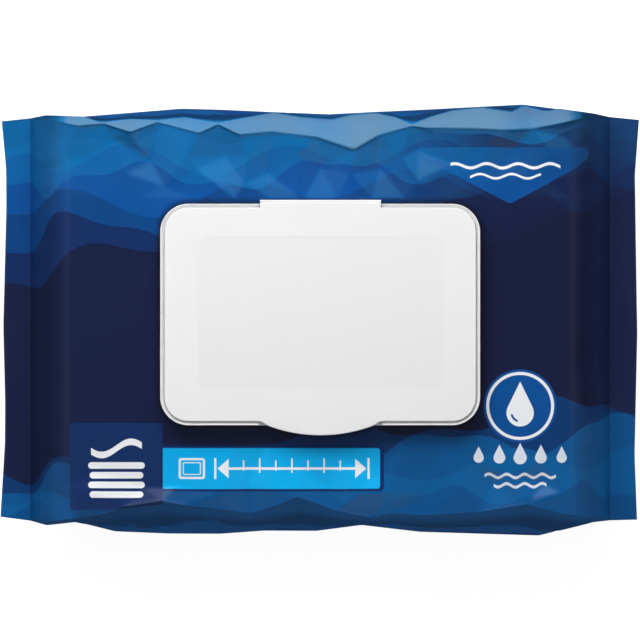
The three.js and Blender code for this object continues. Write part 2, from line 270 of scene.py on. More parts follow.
# ------------------------------------------------------------------ materials
def film_material():
    """printed film: navy field with broad tonal swells, and flat print fields; u, v are millimetres on the film"""
    mat, tree, bsdf = start_material("film_print")
    uvn = tree.nodes.new("ShaderNodeUVMap")
    uvn.uv_map = "film"
    sep = tree.nodes.new("ShaderNodeSeparateXYZ")
    tree.links.new(uvn.outputs[0], sep.inputs[0])
    u, v = Sock(sep.outputs[0]) * 100.0, Sock(sep.outputs[1]) * 100.0

    navy = ink(31, 36, 66)
    col = mix_col(s_step(u, -140.0, 60.0), ink(31, 39, 71), navy)
    # painted light: the right end is painted a little lighter, where the lamps light it less
    col = mix_col(s_step(u, 108.0, 124.0), col, ink(35, 43, 80))

    def swell(base, parts):
        f = base
        total = None
        for amp, length, phase in parts:
            t = s_sin(u * (2 * math.pi / length) + phase) * amp
            total = t if total is None else total + t
        return total + f

    # top margin: from the inner, darker swells to the outer, lighter ones
    right_fade = s_step(u, 10.0, 74.0, 1.0, 0.12)
    layers = [
        (ink(27, 53, 106), 0.85, 33.0, [(6.5, 104.0, 0.4), (2.6, 47.0, 2.1)], -0.10),
        (ink(13, 74, 137), 0.90, 43.5, [(7.0, 88.0, 2.6), (2.2, 39.0, 0.5)], -0.07),
        (ink(10, 84, 156), 0.85, 53.0, [(5.6, 71.0, 4.4), (2.4, 160.0, 1.0)], -0.045),
        (ink(8, 102, 166), 0.80, 60.5, [(5.2, 84.0, 1.1), (2.2, 31.0, 3.4)], -0.03),
        (ink(10, 110, 172), 0.75, 67.0, [(5.8, 63.0, 3.0), (1.8, 118.0, 0.2)], -0.02),
    ]
    for colour, alpha, base, parts, tilt in layers:
        edge = swell(base, parts) + u * (-tilt)
        m = s_step(v - edge, -0.22, 0.22)
        depth = s_step(v - edge, 0.0, 26.0, 1.0, 0.78)
        col = mix_col(m * right_fade * depth * alpha, col, colour)

    # lower margin: the same kind of swells, strongest to the right
    left_fade = s_step(u, -130.0, 96.0, 0.22, 1.0)
    corner = s_step(u, -128.0, -84.0, 1.0, 0.0)
    for colour, alpha, base, parts, tilt in [
        (ink(10, 67, 125), 0.80, -47.0, [(5.0, 92.0, 1.2), (2.4, 41.0, 0.3)], 0.10),
        (ink(6, 95, 157), 0.85, -56.0, [(5.6, 79.0, 3.9), (2.0, 36.0, 1.7)], 0.09),
        (ink(4, 100, 163), 0.80, -64.5, [(4.4, 66.0, 0.2), (2.2, 120.0, 4.0)], 0.07),
        (ink(2, 82, 142), 0.74, -74.0, [(3.6, 58.0, 2.4), (1.6, 27.0, 0.9)], 0.03),
    ]:
        edge = swell(base, parts) + u * tilt
        m = s_step(v - edge, -0.22, 0.22, 1.0, 0.0)
        col = mix_col(m * s_max(left_fade, corner) * alpha, col, colour)

    edge = swell(75.5, [(2.6, 57.0, 1.9), (1.4, 33.0, 0.2)])
    col = mix_col(s_step(v - edge, -0.22, 0.22) * s_step(u, 84.0, 118.0, 0.85, 0.1), col, ink(14, 100, 158))
    # painted shade: along both long edges the colour is painted darker where the film turns down away from the light
    col = mix_col(s_step(v, 81.5, 85.5), col, ink(4, 58, 100))
    col = mix_col(s_step(v, -88.0, -80.5, 0.85, 0.0), col, ink(16, 63, 110))

    # painted shade: towards the crimps the end slopes are painted darker, more at the left end than at the right
    col = mix_col(s_step(s_abs(u), 104.0, 120.0) * s_step(s_abs(u), CREASE_U - 0.3, CREASE_U + 0.3, 1.0, 0.0) * s_step(u, -20.0, 20.0, 0.26, 0.12), col, (0.005, 0.007, 0.011))

    # on the long side walls the swells go on, and run out to plain navy underneath
    for colour, alpha, base, parts in [
        (ink(14, 84, 148), 0.80, 95.0, [(4.2, 97.0, 2.0), (1.8, 41.0, 0.8)]),
        (ink(12, 64, 124), 0.85, 106.0, [(4.6, 83.0, 0.3), (1.9, 36.0, 2.6)]),
        (ink(20, 44, 94), 0.90, 118.0, [(4.4, 110.0, 4.1), (1.6, 47.0, 1.1)]),
        (ink(22, 30, 66), 1.00, 129.0, [(3.4, 90.0, 1.3), (1.2, 31.0, 3.0)]),
    ]:
        for side in (1.0, -1.0):
            edge = swell(base, [(a, l, ph + side) for a, l, ph in parts])
            col = mix_col(s_step(v * side - edge, -0.22, 0.22) * alpha, col, colour)
    col = mix_col(s_step(s_abs(v), 140.0, 143.0), col, ink(22, 30, 66))
    # sealing lines along the lengthwise seam, and its bare outer margin
    seam_rib = s_step(s_sin((v - 300.0) * (2 * math.pi / 1.15)), -0.4, 0.4) * s_step(v, 300.9, 301.1)
    col = mix_col(seam_rib * 0.6, col, ink(36, 50, 100))

    # the film lies in shade close round the lid's frame
    shade = s_step(d_box(u, v, LID_X, LID_Y, FR_W / 2, FR_H / 2, FR_R), -0.5, 2.8, 0.72, 0.0)
    shade_tab = s_step(d_circle(u, v, LID_X, 14.5, 62.3), -0.5, 2.2, 0.6, 0.0) * s_step(v, -43.5, -41.0, 1.0, 0.0)
    col = mix_col(s_max(shade, shade_tab), col, (0.0016, 0.002, 0.006))

    # painted sheen: the film is painted lighter on the shoulder's facets and on the fold net's facets that face the
    # rear light
    facet_sheen_at = tree.nodes.new("ShaderNodeAttribute")
    facet_sheen_at.attribute_name = "facet_sheen"
    lift = Sock(facet_sheen_at.outputs["Fac"])
    col = mix_col(s_step(lift, 0.0, 0.5, 0.0, 0.42), col, ink(40, 132, 190))
    col = mix_col(s_step(lift, 0.5, 1.0, 0.0, 0.86), col, ink(76, 124, 158))
    # painted shade: the colour is painted darker along the sharp folds
    fold_shade_at = tree.nodes.new("ShaderNodeAttribute")
    fold_shade_at.attribute_name = "fold"
    col = mix_col(Sock(fold_shade_at.outputs["Fac"]) * 0.55, col, (0.001, 0.012, 0.035))

    # pennant-shaped field with two wavy lines
    pen = d_poly(u, v, [(33.0, 71.0), (78.0, 47.6), (113.5, 67.0), (113.5, 70.6)], 2.2)
    pen_col = mix_col(s_step(u, 34.0, 112.0), ink(3, 102, 166), ink(4, 73, 133))
    pen_col = mix_col(s_step(v, 70.0, 48.0), pen_col, ink(7, 81, 154))
    col = mix_col(inside(pen), col, pen_col)
    wave1 = s_abs(v - 63.2 - s_sin(u * (2 * math.pi / 13.0)) * 0.9) - 0.62
    wave2 = s_abs(v - 58.9 - s_sin(u * (2 * math.pi / 13.0) + 1.3) * 0.9) - 0.5
    col = mix_col(inside(s_max(wave1, s_abs(u - 76.0) - 22.5), 0.1), col, ink(238, 242, 246))
    col = mix_col(inside(s_max(wave2, s_abs(u - 76.0) - 14.5), 0.1), col, ink(238, 242, 246))

    # bar, with a darker line round it, and the square beside it
    bar_line = d_box(u, v, -20.0, -60.85, 46.2, 9.45, 1.8)
    col = mix_col(inside(bar_line), col, ink(27, 48, 105))
    bar = d_box(u, v, -20.6, -60.85, 45.2, 8.4, 1.2)
    col = mix_col(inside(bar), col, ink(10, 180, 246))
    square = d_box(u, v, -83.4, -60.0, 19.0, 17.8, 1.2)
    col = mix_col(inside(square), col, ink(29, 53, 103))
    white = ink(244, 247, 250)

    # square: a stack of folded sheets, with the top one lifting
    stack_d = None
    for k, (w, y) in enumerate([(11.0, -71.6), (11.6, -67.6), (11.0, -63.6), (11.6, -59.6)]):
        d = d_box(u, v, -83.4, y, w, 1.35, 1.35)
        stack_d = d if stack_d is None else s_min(stack_d, d)
    lift = s_max(s_abs(v + 52.6 - s_sin((u + 83.4) * 0.26) * 2.7) - 1.35, s_abs(u + 83.4) - 10.4)
    stack_d = s_min(stack_d, lift)
    col = mix_col(inside(stack_d), col, white)

    # bar: a plain cloth outline with a long double-ended arrow beside it
    cloth = s_abs(d_box(u, v, -52.5, -60.85, 5.4, 4.3, 1.1) + 0.45) - 0.45
    hem = s_abs(d_box(u, v, -52.5, -60.85, 3.7, 2.6, 0.5) + 0.2) - 0.2
    bar_marks = s_min(cloth, hem)
    shaft = s_max(s_abs(v + 60.85) - 0.5, s_abs(u + 11.5) - 27.0)
    bar_marks = s_min(bar_marks, shaft)
    for sx in (-1.0, 1.0):
        tip = -11.5 + sx * 30.5
        head = s_max(s_abs(v + 60.85) * 1.15 - (tip - u) * sx, (tip - u) * sx - 4.6)
        tick = s_max(s_abs(u - (tip + sx * 0.9)) - 0.45, s_abs(v + 60.85) - 4.3)
        bar_marks = s_min(s_min(bar_marks, head), tick)
    for k in range(-3, 4):
        bar_marks = s_min(bar_marks, s_max(s_abs(u - (-11.5 + k * 6.6)) - 0.3, s_abs(v + 59.6) - (2.1 if k % 2 else 3.0)))
    col = mix_col(inside(bar_marks, 0.1), col, white)

    # disc and ring with a droplet
    disc = d_circle(u, v, 82.0, -35.2, 14.9)
    col = mix_col(inside(disc, 0.5), col, ink(16, 84, 155))
    ring = s_abs(d_circle(u, v, 82.0, -35.2, 13.3)) - 0.62
    bulb = d_circle(u, v, 82.0, -38.0, 5.6)
    cone = s_max(s_abs(u - 82.0) * 0.8992 + (v + 25.2) * 0.4375, (-38.0 + 2.45) - v)
    drop = s_min(bulb, cone)
    shine = s_max(s_abs(d_circle(u, v, 82.0, -38.0, 3.5)) - 0.45, s_max((u - 81.0), (v + 38.6)))
    col = mix_col(s_max(inside(ring), inside(drop, 0.1)), col, white)
    col = mix_col(inside(shine, 0.1), col, ink(16, 84, 155))
    for k, r in ((-2, 2.1), (-1, 2.4), (0, 2.7), (1, 2.4), (2, 2.1)):
        cx, cy = 82.0 + k * 8.5, -56.4
        b = d_circle(u, v, cx, cy, r)
        c = s_max(s_abs(u - cx) * 0.8958 + (v - (cy + r * 2.25)) * 0.4444, (cy + r * 0.4444) - v)
        col = mix_col(inside(s_min(b, c), 0.1), col, ink(222, 230, 240))

    for y, half in ((-63.9, 14.6), (-67.8, 10.8)):
        ripple = s_abs(v - y - s_sin((u - 82.0) * (2 * math.pi / 7.3)) * 0.75) - 0.62
        col = mix_col(inside(s_max(ripple, s_abs(u - 82.0) - half), 0.1), col, ink(222, 230, 240))

    tree.links.new(col, bsdf.inputs["Base Color"])
    bsdf.inputs["Roughness"].default_value = 0.30
    bsdf.inputs["Specular IOR Level"].default_value = 0.36
    tc = tree.nodes.new("ShaderNodeTexCoord")
    n1 = noise(tree, tc.outputs["Object"], 38.0, 0.0, 0.5, 0.0)
    n2 = noise(tree, tc.outputs["Object"], 900.0, 2.0, 0.5)
    nrm = add_bump(tree, bsdf, n1.outputs[0], 0.0010, 0.35)
    add_bump(tree, bsdf, n2.outputs[0], 0.00003, 0.5, nrm)
    return mat


def plastic_material():
    """white moulded polypropylene with a very fine matt grain"""
    mat, tree, bsdf = start_material("lid_white")
    tc = tree.nodes.new("ShaderNodeTexCoord")
    n1 = noise(tree, tc.outputs["Object"], 35.0, 2.0, 0.5)
    n2 = noise(tree, tc.outputs["Object"], 2600.0, 2.0, 0.6)
    Sock.tree = tree
    tint = mix_col(s_step(Sock(n1.outputs[0]), 0.3, 0.7), srgb(247, 247, 248), srgb(249, 249, 249))
    xyz = tree.nodes.new("ShaderNodeSeparateXYZ")
    tree.links.new(tc.outputs["Object"], xyz.inputs[0])
    px, py, pz = (Sock(xyz.outputs[k]) * 1000.0 for k in range(3))
    # painted shade: the sunk panel is painted a little darker than the border round it
    on_panel = inside(d_box(px, py, LID_X, LID_Y, PANEL_W / 2, PANEL_H / 2, PANEL_R), 0.3) * s_step(pz, 63.4, 63.6)
    tint = mix_col(on_panel, tint, srgb(245, 245, 245))
    # painted shade: the rim round the flap is painted greyer, deepest beside the flap
    rim_shade_at = tree.nodes.new("ShaderNodeAttribute")
    rim_shade_at.attribute_name = "rim"
    tint = mix_col(Sock(rim_shade_at.outputs["Fac"]), tint, srgb(196, 198, 199))
    tree.links.new(tint, bsdf.inputs["Base Color"])
    bsdf.inputs["Roughness"].default_value = 0.48
    bsdf.inputs["Specular IOR Level"].default_value = 0.2
    bsdf.inputs["Subsurface Weight"].default_value = 0.06
    bsdf.inputs["Subsurface Radius"].default_value = (0.003, 0.003, 0.003)
    bsdf.inputs["Subsurface Scale"].default_value = 0.5
    add_bump(tree, bsdf, n2.outputs[0], 0.00002, 0.4)
    return mat


def label_material():
    mat, tree, bsdf = start_material("seal_film")
    tc = tree.nodes.new("ShaderNodeTexCoord")
    n1 = noise(tree, tc.outputs["Object"], 60.0, 3.0, 0.5)
    Sock.tree = tree
    tint = mix_col(s_step(Sock(n1.outputs[0]), 0.3, 0.7), srgb(205, 214, 224), srgb(216, 224, 232))
    tree.links.new(tint, bsdf.inputs["Base Color"])
    bsdf.inputs["Roughness"].default_value = 0.3
    add_bump(tree, bsdf, n1.outputs[0], 0.0006, 0.3)
    return mat


FILM, WHITE, LABEL = film_material(), plastic_material(), label_material()

# ------------------------------------------------------------------ film pack
# crease lines across the pack at each station: outer and inner edge of the rear shoulder's bevel
REAR_B = [(-119, 82.4), (-112.3, 83.8), (-104.2, 82.1), (-88.6, 81.0), (-77.9, 82.4), (-66.5, 81.8), (-55.4, 83.1), (-41.7, 80.8),
          (-31.2, 82.9), (-19.1, 85.1), (-7.1, 83.2), (4.9, 82.3), (13.9, 84.6), (22.4, 85.1), (30.8, 83.2), (37.7, 80.1),
          (45.1, 83.2), (54.3, 86.0), (66.1, 87.3), (78.5, 85.4), (83.6, 88.1), (94.8, 84.9), (109.9, 84.7), (119, 82.9)]
REAR_A = [(-119, 81.4), (-112.3, 82.6), (-99.1, 79.6), (-88.6, 80.6), (-77.8, 77.0), (-66.5, 81.2), (-49.6, 76.6), (-41.7, 80.3),
          (-33.0, 75.9), (-19.3, 77.2), (-1.2, 74.9), (13.9, 69.7), (24.2, 75.8), (37.7, 79.6), (43.0, 78.8), (59.9, 78.5),
          (76.7, 77.9), (86.9, 78.3), (98.4, 80.6), (109.9, 83.4), (119, 81.9)]
FRONT_A = [(-119, 80.8), (-112.1, 82.8), (-99.7, 81.2), (-88.6, 79.6), (-80.8, 76.6), (-64.8, 74.2), (-55.8, 75.9), (-40.6, 77.6),
           (-28.7, 79.3), (-18.5, 76.2), (-9.0, 72.4), (7.2, 78.3), (19.7, 81.0), (29.1, 79.2), (43.0, 80.0), (65.6, 78.6),
           (84.7, 75.6), (99.2, 79.3), (111.1, 81.2), (119, 81.0)]
TOP_PROFILE = [(0, 56), (100, 56), (102.5, 55.8), (105, 54.9), (107.5, 52.9), (110, 49.3), (113, 43.0), (116, 35.8), (118, 30.9),
               (CRIMP_IN, 28.32)]

# fold network on the flat beside each long shoulder: x, distance from the middle line, rise above the flat.
# The outermost points lie on the shoulder's inner crease, and the creases join the points that are listed in pairs
REAR_FOLDS = [(-119, 81.4, 0.0), (-112.3, 82.6, -0.2), (-99.1, 79.6, 0.7), (-88.6, 80.6, -0.3), (-77.8, 77.0, 0.9), (-66.5, 81.2, -0.5),
              (-49.6, 76.6, 0.8), (-41.7, 80.3, -0.4), (-33.0, 75.9, 0.9), (-19.3, 77.2, 0.2), (-1.2, 74.9, 0.9), (13.9, 69.7, 1.2),
              (24.2, 75.8, 0.8), (37.7, 79.6, -0.5), (43.0, 78.8, 0.3), (59.9, 78.5, 0.9), (76.7, 77.9, 0.7), (86.9, 78.3, -0.3),
              (98.4, 80.6, 0.5), (109.9, 83.4, -0.1), (119, 81.9, 0.0),
              (-38.9, 67.4, -1.5), (-63.3, 54.5, -0.3), (-68.9, 65.4, -1.2), (-84.5, 74.2, -0.5), (-97.0, 66.0, -0.4), (-55.0, 66.0, 0.6),
              (-50.8, 61.6, 0.2), (-21.2, 60.5, -0.9), (-9.9, 67.5, 0.2), (-29.5, 66.5, 0.4), (0.5, 62.9, -1.1), (24.3, 62.5, -1.2),
              (12.6, 60.0, 0.3), (40.2, 70.2, -1.4), (33.0, 66.5, 0.1), (50.2, 74.6, 0.1), (55.0, 64.0, -0.5), (79.5, 70.5, -1.0),
              (68.0, 72.0, 0.4), (94.0, 68.5, 0.2), (98.7, 76.3, -0.6), (88.0, 60.0, -0.3), (-80.0, 60.0, -0.2), (-108.0, 66.0, -0.3),
              (108.0, 68.0, -0.3), (70.0, 58.0, 0.1), (-31.0, 56.5, 0.0), (40.0, 57.0, 0.1), (-96.0, 73.5, 0.1)]
REAR_LINES = [((-41.7, 80.3), (-38.9, 67.4)), ((-49.6, 76.6), (-38.9, 67.4)), ((-33.0, 75.9), (-38.9, 67.4)), ((-66.5, 81.2), (-55.0, 66.0)),
              ((-77.8, 77.0), (-68.9, 65.4)), ((-68.9, 65.4), (-63.3, 54.5)), ((-50.8, 61.6), (-63.3, 54.5)), ((-88.6, 80.6), (-84.5, 74.2)),
              ((-84.5, 74.2), (-68.9, 65.4)), ((-19.3, 77.2), (-21.2, 60.5)), ((-19.3, 77.2), (-9.9, 67.5)), ((13.9, 69.7), (0.5, 62.9)),
              ((13.9, 69.7), (24.3, 62.5)), ((37.7, 79.6), (40.2, 70.2)), ((37.7, 79.6), (50.2, 74.6)), ((86.9, 78.3), (79.5, 70.5)),
              ((86.9, 78.3), (98.7, 76.3)), ((-55.0, 66.0), (-38.9, 67.4))]
FRONT_FOLDS = [(-119, 80.8, 0.0), (-112.1, 82.8, -0.2), (-99.7, 81.2, 0.2), (-88.6, 79.6, -0.3), (-80.8, 76.6, 0.3), (-64.8, 74.2, 0.9),
               (-55.8, 75.9, 0.3), (-40.6, 77.6, -0.3), (-28.7, 79.3, -1.4), (-18.5, 76.2, 0.0), (-9.0, 72.4, 0.8), (7.2, 78.3, -0.2),
               (19.7, 81.0, -1.5), (29.1, 79.2, -0.5), (43.0, 80.0, -0.7), (65.6, 78.6, -0.2), (84.7, 75.6, 0.9), (99.2, 79.3, -0.2),
               (111.1, 81.2, -0.3), (119, 81.0, 0.0),
               (-39.2, 70.5, 0.3), (-19.6, 69.0, 0.5), (-29.5, 66.0, -0.8), (-73.0, 68.5, -0.5), (-58.0, 68.0, -0.6), (-92.0, 71.0, 0.4),
               (-88.0, 62.0, -0.4), (-50.0, 60.0, 0.0), (3.0, 68.0, -0.7), (16.0, 71.0, 0.6), (29.0, 70.5, 0.3), (22.0, 62.5, -0.5),
               (44.0, 71.5, -0.6), (58.0, 68.0, 0.3), (70.0, 67.5, -0.9), (91.2, 67.0, -0.8), (78.0, 64.0, 0.3), (100.0, 70.5, 0.3),
               (108.0, 66.0, -0.2), (62.0, 57.0, -0.2), (92.0, 57.0, 0.1), (-8.0, 60.0, 0.1), (-106.0, 68.0, -0.2), (8.0, 56.0, 0.0)]
FRONT_LINES = [((-28.7, 79.3), (-39.2, 70.5)), ((-28.7, 79.3), (-19.6, 69.0)), ((-28.7, 79.3), (-29.5, 66.0)), ((84.7, 75.6), (70.0, 67.5)),
               ((84.7, 75.6), (91.2, 67.0)), ((84.7, 75.6), (78.0, 64.0)), ((19.7, 81.0), (16.0, 71.0)), ((19.7, 81.0), (29.0, 70.5)),
               ((-64.8, 74.2), (-73.0, 68.5)), ((-64.8, 74.2), (-58.0, 68.0)), ((-9.0, 72.4), (3.0, 68.0)), ((84.7, 75.6), (100.0, 70.5))]
FOLDS_FROM = 49.5


def fold_net(points, lines):
    """heights on a net of flat facets whose edges follow the creases"""
    pts = [(x, y, z) for x, y, z in points] + [(x, FOLDS_FROM, 0.0) for x in np.linspace(-119, 119, 18)] + [(-119, 66, 0.0), (119, 66, 0.0)]
    index = {(round(x, 3), round(y, 3)): i for i, (x, y, z) in enumerate(pts)}
    edges = [(index[(round(a[0], 3), round(a[1], 3))], index[(round(b[0], 3), round(b[1], 3))]) for a, b in lines]
    from mathutils.geometry import delaunay_2d_cdt
    co, ed, fa, ov, oe, of = delaunay_2d_cdt([Vector((x, y)) for x, y, z in pts], edges, [], 0, 1e-6)
    z_of = []
    for k, c in enumerate(co):
        src = ov[k]
        if src:
            z_of.append(pts[src[0]][2])
        else:                       # where two creases cross: between its neighbours
            d = [(math.hypot(c.x - x, c.y - y), z) for x, y, z in pts]
            d.sort()
            z_of.append((d[0][1] + d[1][1]) / 2)
    tris = [tuple(f) for f in fa if len(f) == 3]
    P = np.array([(c.x, c.y) for c in co])
    Zp = np.array(z_of)

    def height(x, y):
        out = np.zeros_like(x)
        done = np.zeros(x.shape, bool)
        for i, j, k in tris:
            (x0, y0), (x1, y1), (x2, y2) = P[i], P[j], P[k]
            det = (y1 - y2) * (x0 - x2) + (x2 - x1) * (y0 - y2)
            if abs(det) < 1e-9:
                continue
            l0 = ((y1 - y2) * (x - x2) + (x2 - x1) * (y - y2)) / det
            l1 = ((y2 - y0) * (x - x2) + (x0 - x2) * (y - y2)) / det
            l2 = 1 - l0 - l1
            m = (l0 >= -1e-6) & (l1 >= -1e-6) & (l2 >= -1e-6) & ~done
            out[m] = (l0 * Zp[i] + l1 * Zp[j] + l2 * Zp[k])[m]
            done |= m
        return out
    return height


def fin_seal(xs, X, Y, Z):
    """lengthwise seam on the underside: two layers of film sealed face to face and laid over to the front"""
    sel = np.nonzero(np.abs(xs) < 118.7)[0]
    sel = sel[::2] if len(sel) % 2 else np.append(sel[::2], sel[-1])
    edge = -12.0 + 0.35 * np.sin(xs / 23.0) + 0.2 * np.sin(xs / 9.0 + 1.0)
    rows = np.linspace(0, 1, 43)
    verts, uvs = [], []
    for side in (0, 1):
        for t in rows:
            for k in sel:
                y = 4.0 + (edge[k] - 4.0) * t
                x = float(np.interp(y, Y[:, k], X[:, k]))
                z = float(np.interp(y, Y[:, k], Z[:, k]))
                ka, kb = max(k - 1, 0), min(k + 1, len(xs) - 1)
                xa, za = float(np.interp(y, Y[:, ka], X[:, ka])), float(np.interp(y, Y[:, ka], Z[:, ka]))
                xb, zb = float(np.interp(y, Y[:, kb], X[:, kb])), float(np.interp(y, Y[:, kb], Z[:, kb]))
                l = math.hypot(xb - xa, zb - za)
                nx_, nz_ = (zb - za) / l, -(xb - xa) / l
                if nz_ > 0:
                    nx_, nz_ = -nx_, -nz_
                rib = 0.05 * (0.5 + 0.5 * math.sin(2 * math.pi * y / 2.3)) * (0.12 < t < 0.97)
                d = 0.03 + 0.13 * float(smooth01(t / 0.2)) + rib + (0.16 if side else 0.0) * (0.25 + 0.75 * float(smooth01(min(t, 1 - t) / 0.03)))
                verts.append((x + nx_ * d, y, max(z + nz_ * d, 0.015)))
                uvs.append((x, 300.0 + t * 8.0))
    m, n = len(sel), len(rows)
    at = lambda s, i, j: s * n * m + i * m + j
    faces = []
    for i in range(n - 1):
        for j in range(m - 1):
            faces.append((at(0, i, j), at(0, i, j + 1), at(0, i + 1, j + 1), at(0, i + 1, j)))
            faces.append((at(1, i, j), at(1, i + 1, j), at(1, i + 1, j + 1), at(1, i, j + 1)))
    for j in range(m - 1):
        faces.append((at(0, 0, j), at(1, 0, j), at(1, 0, j + 1), at(0, 0, j + 1)))
        faces.append((at(0, n - 1, j), at(0, n - 1, j + 1), at(1, n - 1, j + 1), at(1, n - 1, j)))
    for i in range(n - 1):
        faces.append((at(0, i, 0), at(0, i + 1, 0), at(1, i + 1, 0), at(1, i, 0)))
        faces.append((at(0, i, m - 1), at(1, i, m - 1), at(1, i + 1, m - 1), at(0, i + 1, m - 1)))
    ob = new_object("fin_seal", verts, faces, FILM)
    me = ob.data
    uv = me.uv_layers.new(name="film")
    loops = np.empty(len(me.loops), dtype=np.int32)
    me.loops.foreach_get("vertex_index", loops)
    uv.data.foreach_set("uv", (np.array(uvs) / 100.0)[loops].astype(np.float32).ravel())
    bm = bmesh.new()
    bm.from_mesh(me)
    bmesh.ops.recalc_face_normals(bm, faces=bm.faces)
    open_edges = sum(1 for e in bm.edges if not e.is_manifold)
    bm.to_mesh(me)
    bm.free()
    if open_edges:
        print("OPEN EDGES fin_seal", open_edges)
    me.set_sharp_from_angle(angle=math.radians(50))
    return ob


def film_pack():
    xs = np.unique(np.round(np.concatenate([
        np.arange(-96, 96.01, 0.95), np.arange(96, 118.6, 0.42), -np.arange(96, 118.6, 0.42),
        [118.8, 119.0, -118.8, -119.0]]), 4))
    nx = len(xs)
    ax = np.abs(xs)
    n_in, n_a2, n_ab, n_bc = 9, 27, 9, 14     # rows in each stretch of a quarter

    def ease(n, k=0.75):
        """0..1 with the rows drawn towards both ends, where the creases are"""
        t = np.linspace(0, 1, n + 1)
        return (1 - k) * t + k * (0.5 - 0.5 * np.cos(np.pi * t))

    tuck = GUSSET * np.clip((ax - GUSSET_FROM) / (CRIMP_IN - GUSSET_FROM), 0, 1) ** 1.15
    close = smooth01((ax - 107) / 12.0)
    open_ = 1 - close

    def quarter(w, y_a, y_b, slope_ab, z_top, folds, amount, ridge):
        """one quarter of every section, from the middle of the flat out to mid height"""
        y_b = np.minimum(y_b, w - 0.02)
        y_b = y_b + (w - 0.02 - y_b) * smooth01((ax - 90) / 9.0)
        y_a = np.minimum(y_a, y_b - 0.35)
        yc = w - tuck
        ys, zs = [], []
        calm = smooth01((118.6 - ax) / 9.0)

        def put(y, extra):
            yy = np.clip(y, FOLDS_FROM, None)
            h = folds(xs, yy) * calm * amount if folds else 0 * xs
            ys.append(y)
            zs.append(z_top + h + extra)
        for t in np.linspace(0, 1, n_in + 1)[:-1]:
            put(FOLDS_FROM * t + 0 * xs, 0)
        # the last two rows before the crease stand close to it: a raised, sharp edge
        ts = list(np.linspace(0, 1, n_a2 - 1)[:-1])
        for t in ts:
            put(FOLDS_FROM + (y_a - 1.15 - FOLDS_FROM) * t, 0)
        put(y_a - 1.15, 0 * xs)
        put(y_a - 0.35, ridge * 0.55 * open_)
        z_a = z_top + (folds(xs, y_a - 0.02) * calm * amount if folds else 0) + ridge * open_
        z_b = z_a - ((y_b - y_a) * slope_ab + 0.1) * open_
        for t in ease(n_ab, 0.5)[:-1]:
            ys.append(y_a + (y_b - y_a) * t)
            zs.append(z_a + (z_b - z_a) * t)
        # side wall: a bow from the shoulder to mid height, drawn straight where the gusset is tucked in
        zc = np.full_like(xs, MID)
        qy = w - 0.10 * (w - y_b)
        qz = z_b - 0.40 * (z_b - zc)
        my, mz = (y_b + yc) / 2 + 0.6 * open_, (z_b + zc) / 2 + 1.2 * open_
        k = smooth01(tuck / 6.0)
        qy, qz = qy + (my - qy) * k, qz + (mz - qz) * k
        for t in ease(n_bc, 0.5):
            ys.append((1 - t) ** 2 * y_b + 2 * t * (1 - t) * qy + t * t * yc)
            zs.append((1 - t) ** 2 * z_b + 2 * t * (1 - t) * qz + t * t * zc)
        return np.array(ys), np.array(zs)        # (rows, nx)

    z_top = table(TOP_PROFILE, ax, 1.0)
    z_top[ax > 118.9] = MID + 0.32
    wr, wf = table(REAR, xs, 1.3) + 0.2, table(FRONT, xs, 1.3) + 0.2
    rear_net, front_net = fold_net(REAR_FOLDS, REAR_LINES), fold_net(FRONT_FOLDS, FRONT_LINES)
    slope_r = 0.50 + 0.07 * np.sin(xs / 9.5 + 0.7) - 0.10 * np.exp(-((xs - 13.9) / 12.0) ** 2)
    up_r = quarter(wr, table(REAR_A, xs, 0.9), table(REAR_B, xs, 0.6), slope_r, z_top, rear_net, 2.15, 0.35)
    fa = table(FRONT_A, xs, 0.6)
    fb = fa + (wf - fa) * 0.72
    up_f = quarter(wf, fa, fb, 1.55 + 0.15 * np.sin(xs / 11.0), z_top, front_net, 1.9, 0.15)
    # underside quarters, measured downwards from mid height and mirrored
    la_r = wr - (5.6 + 1.8 * np.abs(np.sin(xs / 15.0 + 0.9)))
    lb_r = wr - (1.3 + 0.9 * np.abs(np.sin(xs / 12.0 + 0.1)))
    la_f = wf - (5.9 + 1.7 * np.abs(np.sin(xs / 14.0 + 2.3)))
    lb_f = wf - (1.4 + 0.8 * np.abs(np.sin(xs / 11.0 + 1.2)))
    lo_r = quarter(wr, la_r, lb_r, 0.8, z_top, None, 0.0, -0.2)
    lo_f = quarter(wf, la_f, lb_f, 0.8, z_top, None, 0.0, -0.2)
    nq = up_r[0].shape[0] - 1          # row nq is the shared middle of the side

    def stacked(sel):
        ur, uf, lr, lf = up_r[sel], up_f[sel], lo_r[sel], lo_f[sel]
        if sel == 1:
            lr, lf = 2 * MID - lr, 2 * MID - lf
            parts = [ur, lr[::-1][1:], lf[1:], uf[::-1][1:-1]]
        else:
            parts = [ur, lr[::-1][1:], -lf[1:], -uf[::-1][1:-1]]
        return np.concatenate(parts, axis=0)
    Y, Z = stacked(0), stacked(1)
    nv = Y.shape[0]
    X = np.repeat(xs[None, :], nv, axis=0)

    # film coordinates: length round the section and along the pack
    dy, dz = np.diff(Y, axis=0, append=Y[:1]), np.diff(Z, axis=0, append=Z[:1])
    seg_len = np.hypot(dy, dz)
    V = np.concatenate([np.zeros((1, nx)), np.cumsum(seg_len, axis=0)[:-1]], axis=0)
    front_from = 2 * nq
    total = seg_len.sum(axis=0)
    V = np.where(np.arange(nv)[:, None] > front_from, V - total[None, :], V)
    step = np.hypot(np.diff(xs), np.diff(z_top))
    along = np.concatenate([[0], np.cumsum(step)])
    along -= np.interp(0, xs, along)
    along *= CREASE_U / along[-1]
    U = np.repeat(along[None, :], nv, axis=0)

    # soft unevenness: the film is held flat under the lid, and hangs a little loose elsewhere
    is_top = Z > MID + 0.5
    lid_d = np.maximum(np.abs(X - LID_X) - FR_W / 2, np.abs(Y - LID_Y) - FR_H / 2)
    loose = smooth01((lid_d - 1.0) / 14.0)
    away = smooth01((118.5 - np.abs(X)) / 8.0)
    flat = smooth01((Z - 44) / 8.0)
    Z = Z + np.where(is_top, -1, 1) * 0.0
    Z = Z - flat * loose * away * (0.12 + 0.22 * vnoise(X / 31 + 5, Y / 24, 3))
